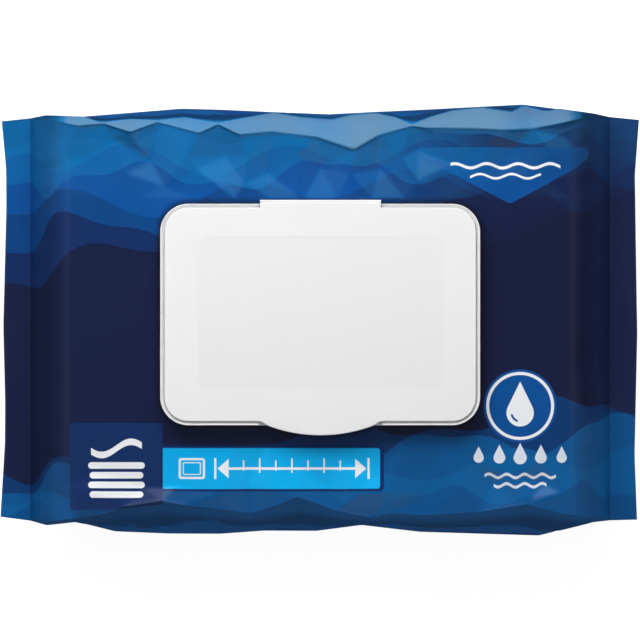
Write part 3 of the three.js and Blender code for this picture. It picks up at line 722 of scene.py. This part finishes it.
    # side walls: shallow buckles with soft creases
    side = smooth01((np.abs(Y) - 72) / 8.0) * (1 - np.exp(-((Z - MID) / 9.0) ** 2)) * smooth01((Z - 5) / 10.0) * smooth01((51 - Z) / 10.0) * smooth01((97 - np.abs(X)) / 12.0)
    buckle = np.abs(vnoise(X / 17, Z / 13 + 3, 8)) * 1.5 + np.abs(vnoise(X / 8.0 + 4, Z / 9.0, 9)) * 0.5
    Y = Y - np.sign(Y) * side * buckle
    for lean, pitch, seed, deep in ((0.55, 37.0, 31, 2.3), (-0.7, 29.0, 37, 2.0), (1.5, 53.0, 41, 1.7)):
        q = (X + lean * (Z - 28) + 5.0 * vnoise(X / 40 + seed, Z / 21, seed)) / pitch + np.where(Y > 0, 0.37, 0.0)
        crease = np.exp(-np.abs((q - np.round(q)) * pitch) / 2.3)
        some = np.clip(vnoise(np.round(q) * 3.7 + seed, Z / 23 + np.where(Y > 0, 9, 0), seed + 1) * 1.6 + 0.35, 0, 1)
        Y = Y - np.sign(Y) * side * crease * some * deep
    # end slopes: pleats that fan out of each crimp
    slope = smooth01((np.abs(X) - 103) / 5.0) * smooth01((118.8 - np.abs(X)) / 3.5)
    pleat = (0.55 * vnoise(Y / 7.5 + 0.04 * X, np.sign(X) * 3.1 + 0 * Y, 12) + 0.35 * vnoise(Y / 3.6 - 0.06 * X, np.sign(X) * 5.3 + 0 * Y, 13))
    inner = smooth01((80 - np.abs(Y)) / 6.0)
    X = X - np.sign(X) * slope * inner * (0.5 + pleat) * 0.9
    # underside: never lower than the surface that it lies on, and raised a little beside the fin seal
    under = smooth01((12 - Z) / 10.0)
    Z = Z + under * away * (0.10 + 0.10 * vnoise(X / 26, Y / 22, 21))
    finz = 0.5 * smooth01((14 - np.abs(Y + 4)) / 5.0) * (Z < 20) * smooth01((112 - np.abs(X)) / 6.0)
    Z = Z + finz
    Z = np.where((Z < 2) & (Z < 0.02), 0.02, Z)

    # crimps
    n_c = 11
    verts = [np.stack([X, Y, Z], -1)]
    uvs = [np.stack([U, V], -1)]
    cols = []

    def crimp(sign):
        k = 0 if sign < 0 else nx - 1
        edge = LEFT_EDGE if sign < 0 else RIGHT_EDGE
        yk, zk = Y[:, k].copy(), Z[:, k].copy()
        idx = np.arange(nv)
        rear = idx <= front_from
        wk = np.where(rear, wr[k], wf[k])
        tip = np.where(rear, edge[-1][1] * 0 + edge[-1][0], -edge[0][0])
        out, uvo = [], []
        for j in range(1, n_c + 1):
            t = (j / n_c) if j > 1 else 0.018
            quarter_pos = np.minimum(idx % (2 * nq), 2 * nq - idx % (2 * nq))     # 0 at the middle, nq at the side
            y = yk.copy()
            in_fold = quarter_pos > (n_in + n_a2 + n_ab)
            y = np.where(in_fold, np.sign(np.where(rear, 1, -1)) * wk, y)
            w_t = wk + (tip - wk) * t
            y = y / wk * w_t
            x = sign * (CRIMP_IN + t * (table(edge, y, 1.0) + (0.4 if sign < 0 else 0.22) - CRIMP_IN))
            up = (idx < nq) | (idx > 3 * nq)
            lip = (quarter_pos - (n_in + n_a2 + n_ab)) / n_bc
            th = 0.32 * (1 - np.clip(lip, 0, 1))
            wave = t * (0.9 * np.sin(y / 21.0 + sign) + 0.5 * np.sin(y / 9.3 + 2 * sign)) * 0.8
            z = MID + np.where(up, th, -th) + wave
            out.append(np.stack([x, y, z], -1))
            uvo.append(np.stack([U[:, k] + sign * t * 10.8, np.where(in_fold, np.sign(y) * np.abs(y), V[:, k])], -1))
        return np.stack(out, 1), np.stack(uvo, 1)
    cl, ul = crimp(-1)
    cr, ur_ = crimp(1)
    P = np.concatenate([cl[:, ::-1], verts[0], cr], axis=1)
    T = np.concatenate([ul[:, ::-1], uvs[0], ur_], axis=1)
    m = P.shape[1]
    idg = np.arange(nv * m).reshape(nv, m)
    faces = []
    nxt = np.roll(idg, -1, axis=0)
    quads = np.stack([idg[:, :-1], nxt[:, :-1], nxt[:, 1:], idg[:, 1:]], -1).reshape(-1, 4)
    faces = quads[:, ::-1].tolist()
    # cut edges of the crimps: upper and lower rows joined
    def cap(col, flip):
        out = []
        for i in range(nq):
            for a, b in (((i, i + 1)), ((-i - 1, -i))):
                up0, up1 = a % nv, b % nv
                lo0, lo1 = (2 * nq - a) % nv, (2 * nq - b) % nv
                q = [idg[up0, col], idg[up1, col], idg[lo1, col], idg[lo0, col]]
                q = [int(v) for v in q]
                r = []
                for v in q:
                    if v not in r:
                        r.append(v)
                if len(r) >= 3:
                    out.append(r[::-1] if flip else r)
        return out
    faces += cap(0, True) + cap(m - 1, False)
    ob = new_object("film_pack", P.reshape(-1, 3), faces, FILM)
    below = [i for i in range(nq, 3 * nq + 1) if -22 < Y[i, nx // 2] < 14 and Z[i, nx // 2] < 4]
    below.sort(key=lambda i: Y[i, nx // 2])
    fin_seal(xs, X[below], Y[below], Z[below])
    me = ob.data
    # painted shade along the rear shoulder's inner crease and the row before it, patchy along the pack
    fold_painted_shade = np.zeros((nv, m))
    some = np.clip(0.55 + 0.9 * vnoise(xs / 13.0, xs * 0 + 2.0, 51), 0.0, 1.0) * smooth01((114 - ax) / 6.0)
    for row, k in ((n_in + n_a2 - 1, 0.85), (n_in + n_a2, 0.45)):
        fold_painted_shade[row, n_c:n_c + nx] = k * some
    # painted sheen, 0..0.5: facets of the fold net that face the rear light; 0.5..1: the shoulder's own facets
    facet_sheen = np.zeros((nv, m))
    a0, a1, b1 = n_in, n_in + n_a2, n_in + n_a2 + n_ab
    gy, gz = Y[a0 + 1:a1 + 1] - Y[a0 - 1:a1 - 1], Z[a0 + 1:a1 + 1] - Z[a0 - 1:a1 - 1]
    lean = np.clip(-gz / np.maximum(gy, 1e-3) * 2.6, 0, 1) * smooth01((112 - ax) / 10.0)
    facet_sheen[a0:a1 - 2, n_c:n_c + nx] = 0.5 * lean[:a1 - 2 - a0]
    whole = smooth01((109 - ax) / 6.0) * (0.86 + 0.14 * vnoise(xs / 17.0, xs * 0 + 7.0, 55))
    for row in range(a1, b1 + 1):
        k = (row - a1) / (b1 - a1)
        facet_sheen[row, n_c:n_c + nx] = whole * (1.0 - 0.12 * k) if row < b1 else 0.6 * whole
    facet_sheen_attr = me.attributes.new("facet_sheen", "FLOAT", "POINT")
    facet_sheen_attr.data.foreach_set("value", facet_sheen.astype(np.float32).ravel())
    fold_attr = me.attributes.new("fold", "FLOAT", "POINT")
    fold_attr.data.foreach_set("value", fold_painted_shade.astype(np.float32).ravel())
    uv = me.uv_layers.new(name="film")
    flatuv = T.reshape(-1, 2) / 100.0
    loops = np.empty(len(me.loops), dtype=np.int32)
    me.loops.foreach_get("vertex_index", loops)
    per_loop = flatuv[loops]
    # faces across the seam underneath, where the film's length starts again, are all plain back
    for poly in me.polygons:
        span = per_loop[poly.loop_start:poly.loop_start + poly.loop_total, 1]
        if span.max() - span.min() > 0.6:
            span[:] = 1.70
    uv.data.foreach_set("uv", per_loop.astype(np.float32).ravel())
    bm = bmesh.new()
    bm.from_mesh(me)
    bmesh.ops.recalc_face_normals(bm, faces=bm.faces)
    bm.to_mesh(me)
    bm.free()
    return ob


pack = film_pack()
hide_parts("film_pouch")


# ------------------------------------------------------------------ moulded lid
def rrect(w, h, r, n=14, cx=LID_X, cy=LID_Y):
    """rounded rectangle, counter-clockwise from its right rear corner"""
    pts = []
    for sx, sy, a0 in ((1, 1, 0), (-1, 1, 90), (-1, -1, 180), (1, -1, 270)):
        for i in range(n + 1):
            a = math.radians(a0 + 90 * i / n)
            pts.append((cx + sx * (w / 2 - r) + r * math.cos(a), cy + sy * (h / 2 - r) + r * math.sin(a)))
    return pts


class LoopBody:
    """closed body made of loops: bridged to each other, and filled flat"""

    def __init__(self):
        self.v, self.f = [], []

    def ring(self, pts):
        k = len(self.v)
        self.v += [tuple(map(float, p)) for p in pts]
        return list(range(k, k + len(pts)))

    def flat(self, pts, z):
        return self.ring([(x, y, z) for x, y in pts])

    def bridge(self, *rings):
        for a, b in zip(rings, rings[1:]):
            n = len(a)
            for i in range(n):
                j = (i + 1) % n
                self.f.append((a[i], a[j], b[j], b[i]))
        return rings[-1]

    def fill(self, outer, *holes):
        from mathutils.geometry import delaunay_2d_cdt
        ids = list(outer) + [i for h in holes for i in h]
        co = [Vector(self.v[i][:2]) for i in ids]
        edges, k = [], 0
        for loop in (outer, *holes):
            n = len(loop)
            edges += [(k + i, k + (i + 1) % n) for i in range(n)]
            k += n
        out = delaunay_2d_cdt(co, edges, [], 0, 1e-5)
        back = [src[0] for src in out[3]]

        def within(p, loop):
            hit, n = False, len(loop)
            for i in range(n):
                (x0, y0), (x1, y1) = self.v[loop[i]][:2], self.v[loop[(i + 1) % n]][:2]
                if (y0 > p[1]) != (y1 > p[1]) and p[0] < (x1 - x0) * (p[1] - y0) / (y1 - y0) + x0:
                    hit = not hit
            return hit
        for tri in out[2]:
            t = [ids[back[i]] for i in tri]
            c = [sum(self.v[i][k] for i in t) / 3 for k in (0, 1)]
            if within(c, outer) and not any(within(c, h) for h in holes):
                self.f.append(tuple(t))

    def make(self, name, mat, body, sharp=38.0):
        ob = new_object(name, self.v, self.f, mat, body)
        bm = bmesh.new()
        bm.from_mesh(ob.data)
        bmesh.ops.remove_doubles(bm, verts=bm.verts, dist=2e-7)
        bmesh.ops.dissolve_degenerate(bm, edges=bm.edges, dist=1e-7)
        bmesh.ops.recalc_face_normals(bm, faces=bm.faces)
        open_edges = sum(1 for e in bm.edges if not e.is_manifold)
        bm.to_mesh(ob.data)
        bm.free()
        if open_edges:
            print("OPEN EDGES", name, open_edges)
        ob.data.polygons.foreach_set("use_smooth", [True] * len(ob.data.polygons))
        ob.data.set_sharp_from_angle(angle=math.radians(sharp))
        wn = ob.modifiers.new("normals", "WEIGHTED_NORMAL")
        wn.keep_sharp = True
        wn.weight = 60
        return ob


def miters(pts):
    """unit inset vectors at each corner of a counter-clockwise outline"""
    out, n = [], len(pts)
    for i in range(n):
        (xp, yp), (x, y), (xn, yn) = pts[i - 1], pts[i], pts[(i + 1) % n]
        l1, l2 = math.hypot(x - xp, y - yp), math.hypot(xn - x, yn - y)
        n1, n2 = (-(y - yp) / l1, (x - xp) / l1), (-(yn - y) / l2, (xn - x) / l2)
        k = 1 + n1[0] * n2[0] + n1[1] * n2[1]
        out.append(((n1[0] + n2[0]) / k, (n1[1] + n2[1]) / k))
    return out


def build_flap():
    sh = LoopBody()
    hw, hh, r = FLAP_W / 2 - 0.2, FLAP_H / 2 - 0.13, FLAP_R
    cx, cy = LID_X - 0.12, LID_Y - 0.25
    rear_y, front_y = cy + hh, cy - hh
    lip_y = HINGE_Y - 0.15
    pts, base, rad, kind = [], [], [], []

    def add(x, y, bx, by, rr, k):
        pts.append((x, y)); base.append((bx, by)); rad.append(rr); kind.append(k)

    def corner(sx, sy, a0):
        for i in range(19):
            a = math.radians(a0 + 90 * i / 18)
            x, y = cx + sx * (hw - r) + r * math.cos(a), cy + sy * (hh - r) + r * math.sin(a)
            add(x, y, x, y, 0.34, 0)
    corner(1, 1, 0)
    # rear edge with the hinge lip, from right to left
    H = HINGE_HALF
    for x, rr in ((H + 2.4, 0.34), (H + 1.4, 0.33), (H + 0.6, 0.31)):
        add(LID_X + x, rear_y, LID_X + x, rear_y, rr, 0)
    add(LID_X + H, rear_y, LID_X + H, rear_y, 0.3, 2)
    add(LID_X + H, lip_y - 0.5, LID_X + H - 0.1, rear_y, 0.3, 2)
    for i in range(5):
        a = math.radians(90 * i / 4)
        add(LID_X + H - 0.35 + 0.35 * math.cos(a), lip_y - 0.35 + 0.35 * math.sin(a), LID_X + H - 0.2 - 0.1 * i, rear_y, 0.28, 2)
    for i in range(5):
        a = math.radians(90 + 90 * i / 4)
        add(LID_X - H + 0.35 + 0.35 * math.cos(a), lip_y - 0.35 + 0.35 * math.sin(a), LID_X - H + 0.6 - 0.1 * i, rear_y, 0.28, 2)
    add(LID_X - H, lip_y - 0.5, LID_X - H + 0.1, rear_y, 0.3, 2)
    add(LID_X - H, rear_y, LID_X - H, rear_y, 0.3, 2)
    for x, rr in ((H + 0.6, 0.31), (H + 1.4, 0.33), (H + 2.4, 0.34)):
        add(LID_X - x, rear_y, LID_X - x, rear_y, rr, 0)
    corner(-1, 1, 90)
    corner(-1, -1, 180)
    # front edge with the thumb tab, from left to right
    arc_r = (TAB_HALF ** 2 + (TAB_TIP + 43.25) ** 2) / (2 * abs(TAB_TIP + 43.25))
    a1 = math.asin(TAB_HALF / arc_r)
    half = [(-TAB_ROOT_HALF - 1.8, front_y), (-TAB_ROOT_HALF - 0.5, front_y - 0.02), (-TAB_ROOT_HALF + 0.4, front_y - 0.22),
            (-TAB_ROOT_HALF + 1.5, front_y - 0.95)]
    n_arc = 36
    curve = half + [(arc_r * math.sin(a1 * t), TAB_TIP + arc_r - arc_r * math.cos(a1 * t)) for t in np.linspace(-1, 1, n_arc + 1)]
    curve += [(-x, y) for x, y in half[::-1]]
    for _ in range(1):      # corners cut
        nxt = [curve[0]]
        for (x0, y0), (x1, y1) in zip(curve, curve[1:]):
            nxt += [(0.75 * x0 + 0.25 * x1, 0.75 * y0 + 0.25 * y1), (0.25 * x0 + 0.75 * x1, 0.25 * y0 + 0.75 * y1)]
        curve = nxt + [curve[-1]]
        curve = [c for i, c in enumerate(curve) if i == 0 or math.hypot(c[0] - curve[i - 1][0], c[1] - curve[i - 1][1]) > 0.12]
    for x, y in curve:
        t = float(smooth01((front_y - y) / 1.2))
        add(LID_X + x, y, LID_X + x, front_y, 0.34, 1 if y < front_y - 0.15 else 0)
    corner(1, -1, 270)
    m, n = miters(pts), len(pts)
    mb = miters(rrect(FLAP_W, FLAP_H, FLAP_R, 18))

    def outline(inset, z):
        """inset and z may differ from point to point"""
        return sh.ring([(pts[i][0] + m[i][0] * inset(i), pts[i][1] + m[i][1] * inset(i), z(i)) for i in range(n)])
    rings = []
    for k in range(8):
        a = math.radians(90 * k / 7)
        rings.append(outline(lambda i: rad[i] * (1 - math.sin(a)), lambda i: LID_TOP - rad[i] * (1 - math.cos(a))))
    low = lambda i: {0: 62.5, 1: 62.5, 2: 62.75}[kind[i]]
    rings.append(outline(lambda i: 0, lambda i: low(i) + 0.28))
    rings.append(outline(lambda i: 0.07 if kind[i] else 0, lambda i: low(i) + 0.1))
    rings.append(outline(lambda i: 0.28 if kind[i] else 0, low))
    # skirt, its outline without tab and lip; inward direction taken towards the flap's own rounded rectangle
    def skirt(inset, z):
        out = []
        for i in range(n):
            x, y = base[i]
            qx, qy = abs(x - cx) - (hw - r), abs(y - cy) - (hh - r)
            sx, sy = (1 if x > cx else -1), (1 if y > cy else -1)
            if qx > 1e-6 and qy > 1e-6:
                l = math.hypot(qx, qy)
                nx, ny = -sx * qx / l, -sy * qy / l
            elif qy >= qx:
                nx, ny = 0, -sy
            else:
                nx, ny = -sx, 0
            out.append((x + nx * inset, y + ny * inset, z))
        return sh.ring(out)
    rings += [skirt(0.0, 62.40), skirt(0.0, 59.35), skirt(0.1, 59.1), skirt(0.35, 59.0), skirt(0.85, 59.0), skirt(1.1, 59.1),
              skirt(1.2, 59.35), skirt(1.2, 62.3), skirt(1.3, 62.6), skirt(1.7, 62.8)]
    sh.bridge(*rings)

    # top face and the shallow sunk panel
    prof = [(0.0, 0.0), (0.3, 0.006), (0.6, 0.022), (0.9, 0.045), (1.2, 0.065), (1.5, 0.076), (1.8, 0.08)]
    panel = [sh.flat(rrect(PANEL_W + 1.0 - 2 * d, PANEL_H + 1.0 - 2 * d, PANEL_R + 0.5 - d * 0.6), LID_TOP - h) for d, h in prof]
    sh.fill(rings[0], panel[0])
    sh.bridge(*panel)
    sh.fill(panel[-1])
    # underside: the panel's back, and the sealing rib on it
    back = [sh.flat(rrect(PANEL_W + 2.4 - 2 * d, PANEL_H + 2.4 - 2 * d, PANEL_R + 1.2), z) for d, z in ((-0.2, 62.8), (0.0, 62.65), (0.05, 62.45), (0.2, 62.3))]
    sh.fill(rings[-1], back[0])
    sh.bridge(*back)
    ri = 0.5 + COLLAR_T
    ro = ri + 1.0

    def rib(k, z):
        return sh.flat(rrect(WIN_W + 2 * k, WIN_H + 2 * k, WIN_R + k), z)
    ribs = [rib(ro - 0.02 + 0.2, 62.3), rib(ro, 62.1), rib(ro - 0.05, 59.1), rib(ro - 0.25, 58.8), rib(ri + 0.25, 58.8), rib(ri + 0.05, 59.1),
            rib(ri, 62.1), rib(ri - 0.2, 62.3)]
    sh.fill(back[-1], ribs[0])
    sh.bridge(*ribs)
    sh.fill(ribs[-1])
    return sh.make("lid_flap_moulding", WHITE, "lid")


def build_frame():
    sh = LoopBody()
    hw, hh, r = FR_W / 2 - 0.22, FR_H / 2 - 0.28, FR_R
    cx, cy = LID_X - 0.12, LID_Y - 0.28
    back = 0.56             # the hinge wall stands behind the rim's rear edge by this much more
    pts, zone = [], []
    N = HINGE_HALF + 0.6

    def corner(sx, sy, a0):
        for i in range(19):
            a = math.radians(a0 + 90 * i / 18)
            pts.append((cx + sx * (hw - r) + r * math.cos(a), cy + sy * (hh - r) + r * math.sin(a)))
            zone.append("rim")
    corner(1, 1, 0)
    rear = [(N + 0.9, "rim"), (N + 0.012, "rim"), (N, "rear"), (HINGE_HALF + 0.012, "rear"), (HINGE_HALF, "hinge"), (HINGE_HALF - 0.3, "hinge")]
    for x, k in rear:
        pts.append((LID_X + x, cy + hh)); zone.append(k)
    for x, k in rear[::-1]:
        pts.append((LID_X - x, cy + hh)); zone.append(k)
    corner(-1, 1, 90)
    corner(-1, -1, 180)
    front = [(-N - 0.9, "rim"), (-N - 0.012, "rim"), (-N, "front"), (N, "front"), (N + 0.012, "rim"), (N + 0.9, "rim")]
    for x, k in front:
        pts.append((LID_X + x, cy - hh)); zone.append(k)
    corner(1, -1, 270)
    m, n = miters(pts), len(pts)

    def regular(top):
        # the rim's top falls a little inwards from its rounded outer edge, down to a ledge beside the flap
        p = [(0.0, 55.7), (0.0, 56.9), (0.0, top - 0.24)]
        p += [(0.24 * (1 - math.cos(a)), top - 0.24 * (1 - math.sin(a))) for a in (math.radians(d) for d in (18, 36, 54, 72, 90))]
        p += [(0.3, top - 0.04), (1.0, top - 0.62), (1.12, top - 0.75), (1.18, top - 0.95)]
        lz, li = (top - 1.2, 1.54) if top > 63 else (top - 1.2, 1.44)
        return p + [(1.38, lz + 0.08), (1.42, lz), (li, lz), (li + 0.02, 57.6), (li + 0.14, 57.3), (1.9, 57.2)]
    b = back
    hinge = [(-1.05 - b, 55.7), (-1.05 - b, 56.9), (-1.05 - b, 63.4)]
    hinge += [(-1.05 - b + 0.42 * (1 - math.cos(a)), 63.85 - 0.45 * (1 - math.sin(a))) for a in (math.radians(d) for d in (18, 36, 54, 72, 90))]
    hinge += [(-0.3 - b, 63.85), (-0.25 - b, 63.8), (-0.25 - b, 62.0), (1.42 - b, 62.0)]
    hinge += [(1.43 - b, 61.6), (1.44 - b, 61.4), (1.44 - b, 61.2), (1.46 - b, 57.6), (1.58 - b, 57.3), (1.9 - b, 57.2)]
    prof = {"rim": regular(RIM_TOP), "rear": regular(62.0), "front": regular(61.7), "hinge": hinge}
    rings = [sh.ring([(pts[i][0] + m[i][0] * prof[zone[i]][k][0], pts[i][1] + m[i][1] * prof[zone[i]][k][0], prof[zone[i]][k][1])
                      for i in range(n)]) for k in range(len(hinge))]
    sh.bridge(*rings)

    def win(k, z):
        return sh.flat(rrect(WIN_W + 2 * k, WIN_H + 2 * k, WIN_R + k), z)
    t = COLLAR_T
    collar = [win(t + 0.3, 57.2), win(t + 0.08, 57.3), win(t, 57.5), win(t, 59.9), win(t - 0.1, 60.1), win(t - 0.3, 60.2), win(0.3, 60.2), win(0.1, 60.1),
              win(0, 59.9), win(0, 56.6), win(0.1, 56.3), win(0.1, 55.7)]
    # catch for the flap's front skirt
    y0 = LID_Y - FLAP_H / 2 + FLAP_T
    c0, c1 = y0 + 0.35, y0 + 1.55

    def catch(d, out, z):
        w, f, b = 12.0 - d, c0 + d - out, c1 - d
        q = []
        for sx, sy, a0 in ((1, 1, 0), (-1, 1, 90), (-1, -1, 180), (1, -1, 270)):
            for i in range(4):
                a = math.radians(a0 + 30 * i)
                q.append((LID_X + sx * (w - 0.3) + 0.3 * math.cos(a), (b - 0.3 if sy > 0 else f + 0.3) + 0.3 * math.sin(a)))
        return sh.flat(q, z)
    hook = [catch(-0.15, 0, 57.2), catch(0, 0, 57.4), catch(0, 0, 60.05), catch(0, 0.22, 60.3), catch(0, 0.22, 60.55), catch(0, 0.02, 60.85),
            catch(0.18, 0, 61.0)]
    sh.fill(rings[-1], collar[0], hook[0])
    sh.bridge(*collar)
    sh.bridge(*hook)
    sh.fill(hook[-1])
    sh.fill(rings[0], collar[-1])
    ob = sh.make("lid_frame_moulding", WHITE, "pack")
    # painted shade on the rim's top, deepest beside the flap, read by the lid material as its rim attribute
    rim_painted_shade = []
    for v in ob.data.vertices:
        x, y, z = (c / MM for c in v.co)
        qx, qy = abs(x - cx) - (hw - r), abs(y - cy) - (hh - r)
        d = r - (math.hypot(max(qx, 0), max(qy, 0)) + min(max(qx, qy), 0))
        rim_painted_shade.append(float((0.2 * smooth01((d - 0.15) / 0.2) + 0.1 * smooth01((d - 0.95) / 0.2)) * smooth01((z - 60.0) / 0.6)) if y < cy + hh + 0.01 else 0.0)
    attr = ob.data.attributes.new("rim", "FLOAT", "POINT")
    attr.data.foreach_set("value", rim_painted_shade)
    return ob


flap, rim = build_flap(), build_frame()
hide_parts("lid_flap")
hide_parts("lid_frame")


def build_web():
    """thin flexible strip of the living hinge, between the frame's rear wall and the flap's lip"""
    n = 12
    ys = np.linspace(HINGE_Y + 0.42, HINGE_Y - 0.42, n + 1)
    sh = LoopBody()
    loops = []
    for y in ys:
        k = abs(y - HINGE_Y) / 0.42
        top, bot = 63.80 - 0.10 * (1 - k * k), 63.42 - 0.05 * k * k
        w = HINGE_HALF - 0.35
        loops.append(sh.ring([(LID_X + w, y, bot), (LID_X + w, y, top), (LID_X - w, y, top), (LID_X - w, y, bot)]))
    for a, b in zip(loops, loops[1:]):
        for i in range(4):
            j = (i + 1) % 4
            sh.f.append((a[i], a[j], b[j], b[i]))
    sh.f += [tuple(loops[0]), tuple(loops[-1][::-1])]
    ob = new_object("hinge_web", sh.v, sh.f, WHITE, None)
    bm = bmesh.new()
    bm.from_mesh(ob.data)
    bmesh.ops.recalc_face_normals(bm, faces=bm.faces)
    bm.to_mesh(ob.data)
    bm.free()
    ob.data.set_sharp_from_angle(angle=math.radians(40))
    return ob


web = build_web()
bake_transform(web)


def build_label():
    """peel-off seal with a rounded pull tab that stands a little proud"""
    W, H, R, TW, TH = 84.0, 36.0, 9.0, 16.0, 4.0
    y0 = LID_Y - H / 2
    out = []
    for sx, sy, a0 in ((1, 1, 0), (-1, 1, 90), (-1, -1, 180)):
        for i in range(15):
            a = math.radians(a0 + 90 * i / 14)
            out.append((LID_X + sx * (W / 2 - R) + R * math.cos(a), LID_Y + sy * (H / 2 - R) + R * math.sin(a)))
    out.append((LID_X - TW / 2 - 1.4, y0))
    for t in np.linspace(0, 1, 5):        # fillet into the tab
        a = math.radians(90 - 90 * t)
        out.append((LID_X - TW / 2 - 1.0 + 1.0 * math.cos(a), y0 - 1.0 + 1.0 * math.sin(a)))
    for t in np.linspace(0, 1, 13):
        a = math.radians(180 + 180 * t)
        out.append((LID_X + TW / 2 * math.cos(a), y0 - 1.2 + (TH - 1.2) * math.sin(a)))
    for t in np.linspace(0, 1, 5):
        a = math.radians(180 - 90 * t)
        out.append((LID_X + TW / 2 + 1.0 + 1.0 * math.cos(a), y0 - 1.0 + 1.0 * math.sin(a)))
    out.append((LID_X + TW / 2 + 1.4, y0))
    for i in range(15):
        a = math.radians(270 + 90 * i / 14)
        out.append((LID_X + W / 2 - R + R * math.cos(a), y0 + R + R * math.sin(a)))
    m = miters(out)

    def lift(x, y):
        return 56.05 + 1.1 * float(smooth01((y0 + 0.6 - y) / 4.4)) ** 1.5
    sh = LoopBody()

    def ring(d, dz):
        q = [(x + mx * d, y + my * d) for (x, y), (mx, my) in zip(out, m)]
        return sh.ring([(x, y, lift(x, y) + dz) for x, y in q])
    rings = [ring(0.25, 0.0), ring(0.0, 0.03), ring(0.0, 0.16), ring(0.12, 0.22)]
    inner = [(x, y) for x, y in rrect(W - 3.0, H - 3.0, R - 1.5, 14)]
    sh.bridge(*rings)
    r2 = sh.ring([(x + mx * 1.2, y + my * 1.2, lift(x + mx * 1.2, y + my * 1.2) + 0.24) for (x, y), (mx, my) in zip(out, m)])
    sh.bridge(rings[-1], r2)
    sh.fill(r2)
    sh.fill(rings[0])
    return sh.make("seal_label_film", LABEL, "pack", 50.0)


label = build_label()
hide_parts("seal_label")

# ------------------------------------------------------------------ floor, light, camera
def plain(name, colour, rough):
    mat, tree, bsdf = start_material(name)
    bsdf.inputs["Base Color"].default_value = (*colour, 1)
    bsdf.inputs["Roughness"].default_value = rough
    bsdf.inputs["Emission Color"].default_value = (1, 1, 1, 1)
    bsdf.inputs["Emission Strength"].default_value = 0.88
    bsdf.inputs["Specular IOR Level"].default_value = 0.1
    return mat


floor = new_object("floor", [(-40000, -40000, 0), (40000, -40000, 0), (40000, 40000, 0), (-40000, 40000, 0)], [(0, 1, 2, 3)],
                   plain("floor_white", (0.45, 0.45, 0.45), 0.7), None, False)
floor.location.z = -0.0002
floor.visible_glossy = False


def area(name, where, aim, size, power, colour=(1, 1, 1)):
    ld = bpy.data.lights.new(name, "AREA")
    ld.shape = "RECTANGLE"
    ld.size, ld.size_y = size
    ld.energy = power
    ld.color = colour
    ob = bpy.data.objects.new(name, ld)
    bpy.context.scene.collection.objects.link(ob)
    ob.location = where
    ob.rotation_mode = "QUATERNION"
    ob.rotation_quaternion = (Vector(aim) - Vector(where)).to_track_quat("-Z", "Y")
    ob.visible_camera = False
    return ob


area("rear_softbox", (-0.12, 0.71, 0.52), (0, 0, 0.04), (1.2, 0.46), 3.6)
top_light = area("top_softbox", (-0.15, 0.56, 0.62), (0, 0, 0.04), (1.0, 0.34), 5.0)
top_light.visible_glossy = False
area("left_softbox", (-1.7, -0.1, 1.7), (0, 0, 0.02), (2.4, 2.4), 4.0)
area("right_softbox", (1.7, -0.3, 1.7), (0, 0, 0.02), (2.4, 2.4), 4.2)
area("front_softbox", (0.2, -1.4, 1.7), (0, 0, 0.02), (2.0, 1.4), 4.9)

world = bpy.data.worlds.new("world")
bpy.context.scene.world = world
world.use_nodes = True
bg = world.node_tree.nodes["Background"]
bg.inputs[0].default_value = (1.0, 1.0, 1.0, 1)
Sock.tree = world.node_tree
sky_at = world.node_tree.nodes.new("ShaderNodeTexCoord")
sky_xyz = world.node_tree.nodes.new("ShaderNodeSeparateXYZ")
world.node_tree.links.new(sky_at.outputs["Generated"], sky_xyz.inputs[0])
world.node_tree.links.new(s_step(Sock(sky_xyz.outputs[2]), -0.12, 0.06, 0.02, 0.13).out, bg.inputs[1])

cam_data = bpy.data.cameras.new("camera")
cam = bpy.data.objects.new("camera", cam_data)
bpy.context.scene.collection.objects.link(cam)
DIST = 10.0
cam_data.sensor_width = 36.0
cam_data.lens = 36.0 * DIST / 0.2624
cam.location = (0.0, 0.0, DIST + 0.045)
cam.rotation_euler = (0, 0, 0)
cam_data.clip_start, cam_data.clip_end = 0.1, 400.0
bpy.context.scene.camera = cam
bpy.context.scene.view_settings.view_transform = "Standard"
bpy.context.scene.view_settings.look = "None"
